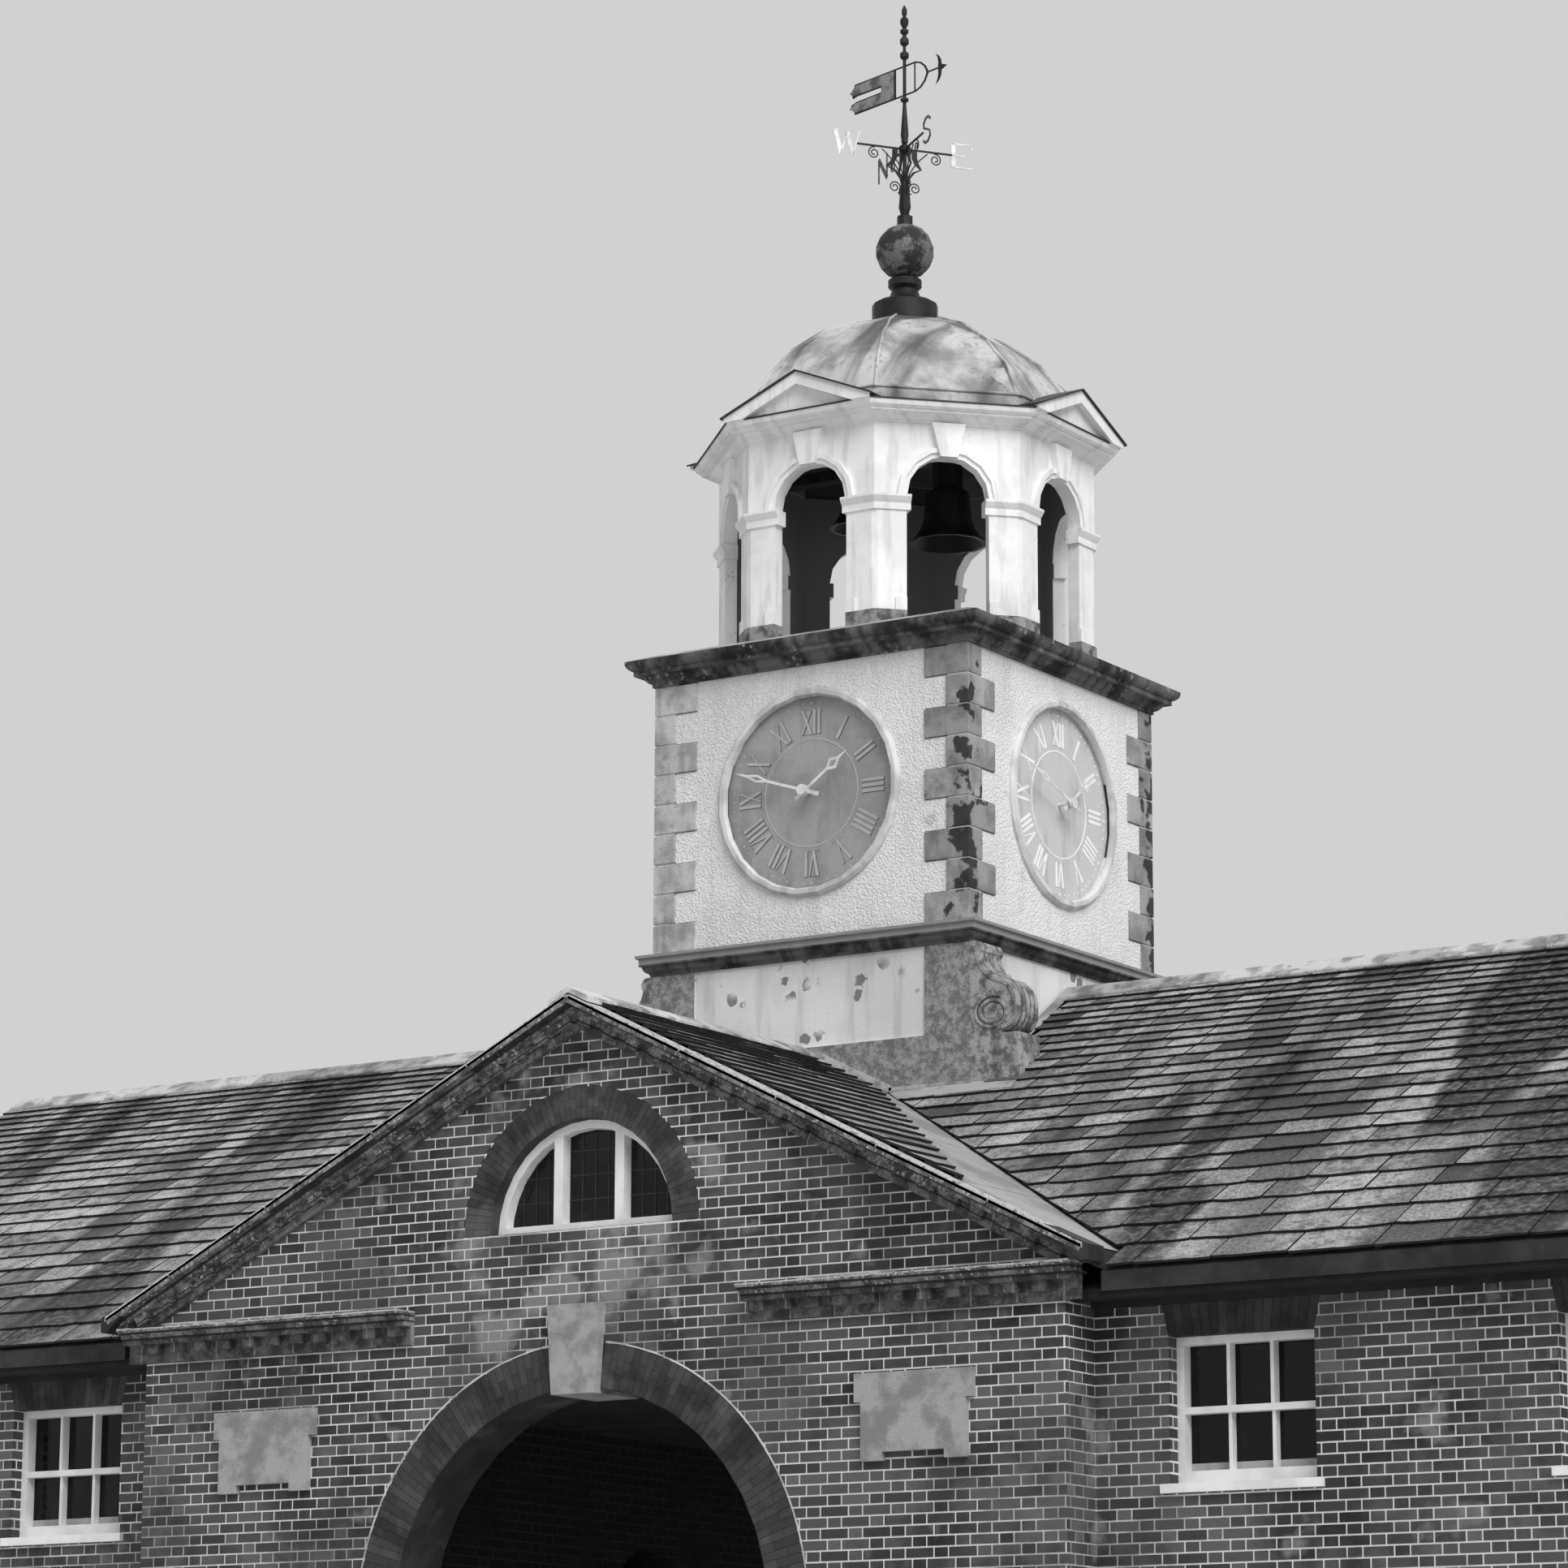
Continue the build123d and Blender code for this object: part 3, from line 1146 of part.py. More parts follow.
save("pavilion_piers", pavilion_piers())
save("pavilion_spandrels", pavilion_spandrels())
save("pavilion_gables", pavilion_gables())
save("arch_rings", arch_rings())
save("arch_keystones", arch_keystones())
save("wall_tablets", wall_tablets())
save("cornice_returns", cornice_returns())
right_rake = raking_cornice()
save("raking_cornices_right", [right_rake, mirror_y(right_rake)])
save("raking_cornices_left", [mirror_x(right_rake), mirror_x(mirror_y(right_rake))])
save("lunette_arches", lunette_arches())
save("lunette_frames", lunette_frames())
save("lunette_glass", lunette_glass())
save("passage_walls", passage_walls())
save("passage_door_heads", passage_door_heads())
save("floors", floors())
save("wing_walls", wing_walls())
save("party_walls", party_walls())
save("window_sills", window_sills())
save("window_lintels", window_lintels())
save("sash_frames", sash_frames())
save("window_glass", window_glass())
save("eaves_bands", eaves_bands())
save("main_roof_front", main_roof(-1))
save("main_roof_rear", main_roof(1))
save("pavilion_roof_right", pavilion_roof(1))
save("pavilion_roof_left", pavilion_roof(-1))
save("tower_base", tower_base())
save("scroll_consoles", scroll_consoles())
save("string_course", string_course())
save("clock_stage_walls", clock_stage_walls())
save("quoins", quoins())
save("dials", dials())
save("dial_rings", dial_rings())
save("main_cornice", main_cornice())
save("tower_deck", tower_deck())
save("cupola_feet", cupola_feet())
save("cupola_piers", cupola_piers())
save("cupola_imposts", cupola_imposts())
panel = arcade_panel()
save("cupola_arches_square", [turned(panel, 90 * turn) for turn in range(4)])
save("cupola_arches_diagonal", [turned(panel, 45 + 90 * turn) for turn in range(4)])
save("cupola_cornice", cupola_cornice())
save("cupola_pediments", cupola_pediments())
save("dome", dome())
save("large_bell", bell(BELL_X, BELL_DROP, BELL_RADIUS, BELL_HEIGHT))
save("small_bell", bell(SMALL_BELL_X, SMALL_BELL_DROP, SMALL_BELL_RADIUS, SMALL_BELL_HEIGHT))
save("bell_beam", bell_beam())
save("finial_neck", finial_neck())
save("finial_ball", finial_ball())
save("mast", mast())
save("compass_arms", compass_arms())
save("vane", vane())
for name, shape in clock_hands().items():
    save(name, shape)
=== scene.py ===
"""Looks of a clock tower over a carriage arch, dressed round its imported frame.

Lengths are metres in the frame's own axes: the ground is z = 0, the tower's axis is x = y = 0,
the front faces -Y and the range runs along X. Tones are display values from 0 to 255.
"""

import logging
import math
import random
from dataclasses import dataclass, field
from enum import Enum
from typing import Callable, Iterable, Iterator, Sequence

import bpy
from mathutils import Matrix, Vector

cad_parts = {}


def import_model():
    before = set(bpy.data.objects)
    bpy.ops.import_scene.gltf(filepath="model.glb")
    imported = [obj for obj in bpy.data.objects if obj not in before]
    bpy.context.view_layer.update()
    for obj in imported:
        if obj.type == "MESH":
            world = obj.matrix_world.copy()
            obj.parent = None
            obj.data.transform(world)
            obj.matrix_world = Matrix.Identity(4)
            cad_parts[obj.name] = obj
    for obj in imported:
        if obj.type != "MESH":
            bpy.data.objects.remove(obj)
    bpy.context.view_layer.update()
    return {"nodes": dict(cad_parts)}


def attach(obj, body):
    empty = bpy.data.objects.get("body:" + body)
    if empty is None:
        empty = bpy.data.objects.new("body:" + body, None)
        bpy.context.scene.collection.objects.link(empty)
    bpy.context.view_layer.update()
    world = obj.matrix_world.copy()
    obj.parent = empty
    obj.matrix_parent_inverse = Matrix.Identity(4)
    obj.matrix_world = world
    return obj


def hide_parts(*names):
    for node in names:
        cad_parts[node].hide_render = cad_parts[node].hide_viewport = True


LOG = logging.getLogger("clock_tower")
Node, Socket = bpy.types.Node, bpy.types.NodeSocket
Point = tuple[float, float]
Triple = tuple[float, float, float]
Quad = tuple[float, float, float, float]
BUILDING = "building"
HANDS = (-1, 1)
UP, FORWARD = Vector((0, 0, 1)), Vector((0, -1, 0))


@dataclass(frozen=True)
class Plan:
    """Lines of the building that several parts keep to."""

    pavilion_half: float = 3.95
    front: float = 4.43
    wing_front: float = 4.04
    window_half: float = 0.54
    windows: tuple[float, ...] = (5.05, 7.85)
    storeys: tuple[Point, ...] = ((1.05, 2.4), (4.2, 5.175))
    arch_spring: float = 3.43
    arch_inner: float = 1.6
    lunette_spring: float = 6.16
    ridge: float = 8.37
    main_slope: float = 0.63326
    apex: float = 7.81
    gable_slope: float = 0.49286
    gable_foot: float = 4.2
    tower_half: float = 1.463
    stage_half: float = 1.448


PLAN = Plan()


class Side(Enum):
    """The four faces of the tower, with the turn in degrees that brings the front there."""

    FRONT = 0
    RIGHT = 90
    REAR = 180
    LEFT = 270

    def axes(self) -> tuple[Vector, Vector]:
        """The run to the right along this face, and the way out of it."""
        turn = Matrix.Rotation(math.radians(self.value), 3, "Z")
        return turn @ Vector((1, 0, 0)), turn @ FORWARD


class Bond(Enum):
    """How a course starts in a wall laid in alternate stretchers and headers."""

    EVEN = 0.0
    ODD = 0.5


class Shader:
    """A material or node group under construction, with short calls for common nodes."""

    def __init__(self, tree: bpy.types.NodeTree) -> None:
        """Keeps the tree that the nodes go in.

        Args:
            tree: A material's or a node group's tree.
        """
        self.tree = tree

    def feed(self, socket: Socket, value: object) -> None:
        """Links a socket to an input or sets the input plainly, whichever the value is."""
        if isinstance(value, Socket):
            self.tree.links.new(value, socket)
        else:
            socket.default_value = value

    def node(self, kind: str, inputs: dict | None = None, **settings: object) -> Node:
        """Adds a node.

        Args:
            kind: The node's type name.
            inputs: Sockets or values for its inputs, by name or number.
            settings: Attributes to set on it.

        Returns:
            The new node.
        """
        made = self.tree.nodes.new(kind)
        for name, value in settings.items():
            setattr(made, name, value)
        for key, value in (inputs or {}).items():
            self.feed(made.inputs[key], value)
        return made

    def math(self, operation: str, *values: object, clamp: bool = False) -> Socket:
        """The result of a Math node on sockets or numbers, held between 0 and 1 if wanted."""
        inputs = dict(enumerate(values))
        return self.node("ShaderNodeMath", inputs, operation=operation, use_clamp=clamp).outputs[0]

    def vector(self, operation: str, inputs: dict) -> Node:
        """A Vector Math node."""
        return self.node("ShaderNodeVectorMath", inputs, operation=operation)

    def place(self, output: str = "Object") -> Socket:
        """Where a point is, or with "Normal" which way it faces."""
        return self.node("ShaderNodeTexCoord").outputs[output]

    def parts(self, output: str = "Object") -> tuple[Socket, ...]:
        """The three parts of a place or of a normal."""
        return tuple(self.node("ShaderNodeSeparateXYZ", {0: self.place(output)}).outputs)

    def running(self) -> tuple[Socket, Socket]:
        """The distance along a face, whichever way it looks, and the height."""
        x, y, z = self.parts()
        facing = [self.math("ABSOLUTE", part) for part in self.parts("Normal")[:2]]
        endways = self.math("GREATER_THAN", facing[0], self.math("MULTIPLY", facing[1], 1.6))
        return self.node("ShaderNodeMix", {0: endways, 2: x, 3: y}).outputs[0], z

    def noise(self, scale: object, detail: float = 2.0, vector: Socket | None = None,
              roughness: object = 0.5) -> Socket:
        """The value of a noise texture.

        Args:
            scale: Its scale.
            detail: How many finer layers it has.
            vector: What it follows, or None for the place.
            roughness: How strong the finer layers are.

        Returns:
            The noise, from 0 to 1.
        """
        inputs = {"Scale": scale, "Detail": detail, "Roughness": roughness,
                  "Vector": self.place() if vector is None else vector}
        return self.node("ShaderNodeTexNoise", inputs).outputs["Fac"]

    def between(self, value: Socket, low: object, high: object) -> Socket:
        """A value carried from low..high to 0..1 and held there."""
        inputs = {"Value": value, "From Min": low, "From Max": high}
        made = self.node("ShaderNodeMapRange", inputs, clamp=True, interpolation_type="SMOOTHSTEP")
        return made.outputs["Result"]

    def mix(self, factor: Socket, first: object, second: object) -> Socket:
        """A mix of two colours or sockets."""
        return self.node("ShaderNodeMix", {0: factor, 6: first, 7: second}, data_type="RGBA").outputs[2]

    def tint(self, colour: object, mask: Socket, amount: float, tone: float) -> Socket:
        """Lays a grey over a colour where a mask is bright.

        Args:
            colour: What lies under it.
            mask: Where it goes.
            amount: How much of it shows there, from 0 to 1.
            tone: The grey's tone.

        Returns:
            The new colour.
        """
        return self.mix(self.math("MULTIPLY", mask, amount), colour, grey(tone))

    def group(self, name: str, **values: object) -> Node:
        """Places a shared group and gives its inputs their values."""
        return self.node("ShaderNodeGroup", values, node_tree=bpy.data.node_groups[name])

    def mask(self, name: str, **values: object) -> Socket:
        """The mask of a shared group."""
        return self.group(name, **values).outputs["Mask"]

    def tone(self) -> Socket:
        """The chance value that each modelled stone or brick keeps."""
        return self.node("ShaderNodeAttribute", attribute_name="tone").outputs["Fac"]

    def coat(self, surface: Node, colour: Socket, rough: object, height: Socket, relief: Point) -> None:
        """Feeds a surface.

        Args:
            surface: The material's surface node.
            colour: Its colour.
            rough: Its roughness.
            height: The height of its fine relief, from 0 to 1.
            relief: How much of the relief shows, and how deep it is.
        """
        self.feed(surface.inputs["Base Color"], colour)
        self.feed(surface.inputs["Roughness"], rough)
        bump = self.node("ShaderNodeBump", {"Strength": relief[0], "Distance": relief[1], "Height": height})
        self.feed(surface.inputs["Normal"], bump.outputs["Normal"])


def grey(tone: float) -> Quad:
    """The linear colour of a grey, from its tone."""
    share = tone / 255.0
    linear = share / 12.92 if share <= 0.04045 else ((share + 0.055) / 1.055) ** 2.4
    return (linear, linear, linear, 1.0)


class Effect(Shader):
    """A shared node group under construction."""

    def __init__(self, name: str, outputs: Sequence[str] = ("Mask",), **inputs: float) -> None:
        """Makes the group with its named sockets.

        Args:
            name: The group's name.
            outputs: The names of its outputs.
            inputs: Its inputs with their defaults.
        """
        tree = bpy.data.node_groups.new(name, "ShaderNodeTree")
        for key, value in inputs.items():
            socket = tree.interface.new_socket(name=key, in_out="INPUT", socket_type="NodeSocketFloat")
            socket.default_value = value
        for key in outputs:
            tree.interface.new_socket(name=key, in_out="OUTPUT", socket_type="NodeSocketFloat")
        super().__init__(tree)
        self.given = self.node("NodeGroupInput").outputs
        self.result = self.node("NodeGroupOutput").inputs

    def give(self, value: Socket, name: str = "Mask") -> None:
        """Sends a value out of the group."""
        self.feed(self.result[name], value)

    def limit(self, value: Socket) -> Socket:
        """A value carried between the group's own low and high limits."""
        return self.between(value, self.given["Low"], self.given["High"])


class Effects:
    """The node groups that several finishes share."""

    def build(self) -> None:
        """Makes every group once."""
        for make in (self.patches, self.streaks, self.laying, self.specks, self.spots, self.inward,
                     self.endways, self.undercut, self.crown, self.trim, self.arris, self.bloom, self.coursing):
            make()

    def patches(self) -> None:
        """Soft uneven areas, such as damp, bleaching and old coats of wash."""
        group = Effect("patches", Scale=2.0, Low=0.45, High=0.6, Roughness=0.6)
        noise = group.noise(group.given["Scale"], 6.0, roughness=group.given["Roughness"])
        group.give(group.limit(noise))

    def streaks(self) -> None:
        """Marks drawn out down the face by running water."""
        group = Effect("streaks", Scale=6.0, Stretch=8.0, Low=0.5, High=0.65)
        across, height = group.running()
        drawn = group.math("DIVIDE", height, group.given["Stretch"])
        vector = group.node("ShaderNodeCombineXYZ", {"X": across, "Y": drawn}).outputs[0]
        group.give(group.limit(group.noise(group.given["Scale"], 5.0, vector)))

    def laying(self) -> None:
        """Courses of long and short bricks by turns, on faces along either axis."""
        group = Effect("laying", ("Brick", "Tone"), Course=0.075, Long=0.225, Short=0.1125, Joint=0.014)
        do, given = group.math, group.given
        across, height = group.running()
        period = do("ADD", given["Long"], given["Short"])
        course = do("FLOOR", do("DIVIDE", height, given["Course"]))
        shift = do("MULTIPLY", do("MULTIPLY", period, 0.5), do("FLOORED_MODULO", course, 2.0))
        along = do("ADD", across, shift)
        spot = do("FLOORED_MODULO", along, period)
        level = do("FLOORED_MODULO", height, given["Course"])
        half = do("MULTIPLY", given["Joint"], 0.5)
        away = do("ABSOLUTE", do("SUBTRACT", spot, given["Long"]))
        brick = do("GREATER_THAN", spot, half)
        for test in (do("LESS_THAN", spot, do("SUBTRACT", period, half)),
                     do("GREATER_THAN", away, half), do("GREATER_THAN", level, half),
                     do("LESS_THAN", level, do("SUBTRACT", given["Course"], half))):
            brick = do("MULTIPLY", brick, test)
        group.give(brick, "Brick")
        number = do("FLOOR", do("DIVIDE", along, period))
        index = do("MULTIPLY_ADD", number, 2.0, do("GREATER_THAN", spot, given["Long"]))
        pair = group.node("ShaderNodeCombineXYZ", {"X": index, "Y": course}).outputs[0]
        chance = group.node("ShaderNodeTexWhiteNoise", {"Vector": pair}, noise_dimensions="2D")
        group.give(chance.outputs["Value"], "Tone")

    def specks(self) -> None:
        """Fine grain, such as sand in render or pits in a brick."""
        group = Effect("specks", Scale=300.0, Low=0.35, High=0.75)
        group.give(group.limit(group.noise(group.given["Scale"])))

    def spots(self) -> None:
        """Round blots in drifts, such as lichen or flaked paint."""
        group = Effect("spots", Scale=14.0, Size=0.3, Spread=0.55)
        do, given = group.math, group.given
        cells = group.node("ShaderNodeTexVoronoi", {"Vector": group.place(), "Scale": given["Scale"]})
        near = do("MULTIPLY_ADD", group.noise(22.0), 0.5, cells.outputs["Distance"])
        inside = do("LESS_THAN", near, do("ADD", given["Size"], 0.25))
        drift = group.between(group.noise(3.0), given["Spread"], do("ADD", given["Spread"], 0.12))
        group.give(do("MULTIPLY", inside, drift))

    def inward(self) -> None:
        """Faces that look back at the tower's axis, where painted shade darkens the inside of the tower and the
        cupola.
        """
        group = Effect("inward", Limit=-0.4)
        level = group.vector("MULTIPLY", {0: group.place(), 1: (1.0, 1.0, 0.0)}).outputs[0]
        outwards = group.vector("NORMALIZE", {0: level}).outputs[0]
        facing = group.vector("DOT_PRODUCT", {0: outwards, 1: group.place("Normal")})
        group.give(group.math("LESS_THAN", facing.outputs["Value"], group.given["Limit"]))

    def endways(self) -> None:
        """Faces that look along the range."""
        group = Effect("endways", Limit=0.5)
        share = group.math("ABSOLUTE", group.parts("Normal")[0])
        group.give(group.math("GREATER_THAN", share, group.given["Limit"]))

    def undercut(self) -> None:
        """Faces that do not look up at the sky, such as the tails of slates, which take painted shade."""
        group = Effect("undercut", Limit=0.5)
        group.give(group.math("LESS_THAN", group.parts("Normal")[2], group.given["Limit"]))

    def crown(self) -> None:
        """The part of a moulding over a height."""
        group = Effect("crown", Height=8.66)
        group.give(group.math("GREATER_THAN", group.parts()[2], group.given["Height"]))

    def trim(self) -> None:
        """The stone pilasters at the corners of the tower's base, and the plinth under them."""
        group = Effect("trim", Corner=1.048, Plinth=7.88)
        do, (x, y, z) = group.math, group.parts()
        least = do("MINIMUM", do("ABSOLUTE", x), do("ABSOLUTE", y))
        corner = do("GREATER_THAN", least, group.given["Corner"])
        group.give(do("MAXIMUM", corner, do("LESS_THAN", z, group.given["Plinth"])))

    def arris(self) -> None:
        """Soot that gathers at the arrises of the tower's right-hand corners, most of it half way up."""
        group = Effect("arris", Corner=2.896, Reach=0.3, Middle=9.6, Low=0.71, High=0.77)
        do, given, (x, y, z) = group.math, group.given, group.parts()
        out = do("ADD", do("ABSOLUTE", x), do("ABSOLUTE", y))
        near = group.between(out, do("SUBTRACT", given["Corner"], given["Reach"]), given["Corner"])
        away = do("ABSOLUTE", do("SUBTRACT", z, given["Middle"]))
        cloud = do("MULTIPLY_ADD", near, 0.22, group.noise(6.5, 8.0))
        cloud = do("ADD", cloud, do("MULTIPLY_ADD", away, -0.09, 0.08))
        group.give(do("MULTIPLY", group.limit(cloud), do("GREATER_THAN", x, 0.0)))

    def bloom(self) -> None:
        """White salts that come out of the bricks round the half-round windows."""
        group = Effect("bloom", Height=6.16, Near=1.04, Far=1.6, Low=0.6, High=0.74)
        do, given, (x, _, z) = group.math, group.given, group.parts()
        rise = do("SUBTRACT", z, given["Height"])
        away = do("SQRT", do("ADD", do("MULTIPLY", rise, rise), do("MULTIPLY", x, x)))
        near = do("SUBTRACT", 1.0, group.between(away, given["Near"], given["Far"]))
        group.give(group.limit(do("MULTIPLY_ADD", near, 0.13, group.noise(2.6, 7.0))))

    def coursing(self) -> None:
        """Joints across a level or raking cornice, with its upper course, top edge and shadow lines."""
        outputs = "Joints", "Upper", "Edge", "Lines"
        group = Effect("coursing", outputs, Top=5.65, Slope=0.0, Band=0.07, Joint=0.012)
        do, given, (x, _, z) = group.math, group.given, group.parts()
        out, fall = do("ABSOLUTE", x), do("SUBTRACT", given["Top"], z)
        depth = do("SUBTRACT", fall, do("MULTIPLY", out, given["Slope"]))
        along = do("ADD", out, do("MULTIPLY", fall, given["Slope"]))
        upper = do("LESS_THAN", depth, given["Band"])
        pitch = do("MULTIPLY_ADD", upper, 0.72, 0.36)
        lines = [do("COMPARE", depth, middle, 0.007)
                 for middle in (given["Band"], do("MULTIPLY", given["Band"], 0.42))]
        group.give(do("LESS_THAN", do("FLOORED_MODULO", along, pitch), given["Joint"]), "Joints")
        group.give(upper, "Upper")
        group.give(do("LESS_THAN", depth, 0.006), "Edge")
        group.give(do("MAXIMUM", *lines), "Lines")


@dataclass(frozen=True)
class Finish:
    """A procedural material."""

    name: str

    def make(self) -> bpy.types.Material:
        """Builds the material.

        Returns:
            The finished material.
        """
        material = bpy.data.materials.new(self.name)
        material.use_nodes = True
        self.paint(Shader(material.node_tree), material.node_tree.nodes["Principled BSDF"])
        return material

    def paint(self, shader: Shader, surface: Node) -> None:
        """Feeds the surface, in each kind of finish in its own way.

        Args:
            shader: The material's helper.
            surface: Its surface node.
        """
        raise NotImplementedError


@dataclass(frozen=True)
class Weathered(Finish):
    """A mineral, painted or leaden finish with patches, streaks, spots, grain and painted shade on faces that
    look back at the tower's axis.

    Streaks are given as (amount, tone, scale), spots as (amount, tone, scale, spread) and specks as
    (amount, scale).
    """

    pale: float
    dark: float
    patch: float = 1.6
    limits: Point = (0.42, 0.62)
    streak: Triple = (0.0, 60.0, 7.0)
    spot: Quad = (0.0, 215.0, 16.0, 0.55)
    speck: Point = (0.15, 260.0)
    spread: float = 0.0
    soot: float = 0.0
    bloom: float = 0.0
    # Tone of the painted shade on faces that look back at the tower's axis; 0 for none.
    inner: float = 0.0
    end: float = 0.0
    trim: float = 0.0
    crown: float = 0.0
    rough: float = 0.85
    metallic: float = 0.0
    relief: float = 0.25
    depth: float = 0.004

    def paint(self, shader: Shader, surface: Node) -> None:
        """Lays the finish's tones, wear and painted shade over its ground."""
        patch = shader.mask("patches", Scale=self.patch, Low=self.limits[0], High=self.limits[1])
        colour = shader.mix(patch, grey(self.pale), grey(self.dark))
        if self.end > 0:
            colour = shader.mix(shader.mask("endways"), colour, grey(self.end))
        if self.spread > 0:
            swing = shader.math("MULTIPLY_ADD", shader.tone(), self.spread, 1.0 - self.spread / 2)
            colour = shader.vector("SCALE", {0: colour, "Scale": swing}).outputs[0]
        layers = (("streaks", *self.streak[:2], {"Scale": self.streak[2]}),
                  ("spots", *self.spot[:2], {"Scale": self.spot[2], "Spread": self.spot[3]}),
                  ("crown", self.crown, 176, {}), ("bloom", self.bloom, 168, {}), ("arris", self.soot, 16, {}),
                  ("specks", self.speck[0], self.dark * 0.5, {"Scale": self.speck[1]}),
                  # Painted shade: faces that look back at the tower's axis take the inner tone.
                  ("inward", float(self.inner > 0), self.inner, {}))
        masks = {}
        for name, amount, tone, values in layers:
            if amount > 0:
                masks[name] = shader.mask(name, **values)
                colour = shader.tint(colour, masks[name], amount, tone)
        if self.trim > 0:
            mottle = shader.mask("patches", Scale=11.0, Low=0.38, High=0.6, Roughness=0.8)
            stone = shader.mix(mottle, grey(self.trim), grey(self.trim * 0.66))
            stone = shader.tint(stone, masks["specks"], 0.3, self.trim * 0.5)
            colour = shader.mix(shader.mask("trim"), colour, stone)
        rough = shader.math("MULTIPLY_ADD", patch, 0.12, self.rough - 0.06, clamp=True)
        surface.inputs["Metallic"].default_value = self.metallic
        height = shader.math("ADD", masks["specks"], patch)
        shader.coat(surface, colour, rough, height, (self.relief, self.depth))


@dataclass(frozen=True)
class Brickwork(Finish):
    """A brick wall's plain faces, drawn course by course between the modelled bricks."""

    joint: float
    pale: float
    dark: float

    def paint(self, shader: Shader, surface: Node) -> None:
        """Draws worn bricks between damp joints."""
        laid = shader.group("laying")
        grain = shader.mask("specks", Scale=180.0)
        brick = shader.mix(laid.outputs["Tone"], grey(self.dark), grey(self.pale))
        worn = shader.tint(brick, grain, 0.3, self.dark * 0.5)
        joint = shader.mix(shader.mask("patches", Scale=1.1), grey(self.joint), grey(self.joint * 0.72))
        colour = shader.mix(laid.outputs["Brick"], joint, worn)
        height = shader.math("MULTIPLY_ADD", grain, 0.3, laid.outputs["Brick"])
        shader.coat(surface, colour, 0.92, height, (0.6, 0.004))


@dataclass(frozen=True)
class Slating(Finish):
    """Stone slates, bleached by lichen, blackened in bands where the water runs, and with painted shade on
    their tails and side edges.
    """

    middle: float = 102.0
    pale: float = 196.0
    black: float = 14.0
    # Tone of the painted shade on faces that do not look up: the slates' tails and side edges.
    tail: float = 6.0
    tower_reach: Point = (1.9, 3.3)

    def paint(self, shader: Shader, surface: Node) -> None:
        """Draws mottled stones with lichen, black bands, and painted shade on their tails and side edges."""
        do, tone = shader.math, shader.tone()
        colour = shader.mix(tone, grey(self.middle * 0.62), grey(self.middle * 1.7))
        mottle = shader.mask("patches", Scale=24.0, Low=0.42, High=0.6, Roughness=0.8)
        colour = shader.tint(colour, mottle, 0.5, self.middle * 0.4)
        cloud = shader.mask("patches", Scale=9.0, Low=0.36, High=0.56)
        runs = shader.mask("streaks", Scale=1.5, Stretch=3.0, Low=0.4, High=0.56)
        lichen = do("MULTIPLY", do("MULTIPLY", cloud, runs), do("MULTIPLY_ADD", tone, 0.7, 0.3))
        colour = shader.mix(lichen, colour, grey(self.pale))
        band = shader.mask("streaks", Scale=0.8, Stretch=2.2, Low=0.49, High=0.56)
        crumbs = shader.mask("patches", Scale=16.0, Low=0.3, High=0.62)
        open_roof = shader.between(do("ABSOLUTE", shader.parts()[0]), *self.tower_reach)
        amount = do("MULTIPLY", do("MULTIPLY", band, open_roof), do("MULTIPLY_ADD", crumbs, 0.4, 0.6))
        colour = shader.mix(amount, colour, grey(self.black))
        # Painted shade: faces that do not look up, the tails and side edges, are drawn near black.
        colour = shader.mix(shader.mask("undercut"), colour, grey(self.tail))
        grain = shader.mask("specks", Scale=48.0)
        colour = shader.tint(colour, grain, 0.4, self.black)
        shader.coat(surface, colour, 0.7, do("ADD", grain, cloud), (0.9, 0.006))


@dataclass(frozen=True)
class Coursed(Finish):
    """A brick cornice with a pale mottled upper course, level or raking."""

    top: float
    slope: float = 0.0
    brick: float = 92.0
    course: float = 124.0
    band: float = 0.07

    def paint(self, shader: Shader, surface: Node) -> None:
        """Draws the two courses with their joints, shadow lines and chipped edge."""
        laid = shader.group("coursing", Top=self.top, Slope=self.slope, Band=self.band).outputs
        damp = shader.mask("patches", Scale=7.5, Low=0.4, High=0.58, Roughness=0.75)
        lower = shader.mix(damp, grey(self.brick), grey(self.brick * 0.55))
        upper = shader.mix(damp, grey(self.course * 1.2), grey(self.course * 0.62))
        upper = shader.tint(upper, shader.mask("spots", Scale=24.0, Spread=0.42), 0.7, 205)
        colour = shader.mix(laid["Upper"], lower, upper)
        edge = shader.math("MULTIPLY", laid["Edge"], shader.mask("patches", Scale=20.0, Low=0.38, High=0.48))
        grain = shader.mask("specks", Scale=120.0)
        for mask, amount, tone in ((laid["Joints"], 0.45, 180), (laid["Lines"], 0.85, 16), (edge, 0.8, 225),
                                   (grain, 0.4, 22)):
            colour = shader.tint(colour, mask, amount, tone)
        shader.coat(surface, colour, 0.92, shader.math("ADD", grain, damp), (0.6, 0.005))


@dataclass(frozen=True)
class DarkGlass(Finish):
    """Old window glass with an unlit room behind it."""

    dark: float = 12.0

    def paint(self, shader: Shader, surface: Node) -> None:
        """Draws a thin film of dirt on smooth glass."""
        film = shader.mask("patches", Scale=2.2)
        surface.inputs["Specular IOR Level"].default_value = 0.25
        shader.coat(surface, shader.mix(film, grey(self.dark), grey(self.dark + 14)), 0.12, film, (0.15, 0.01))


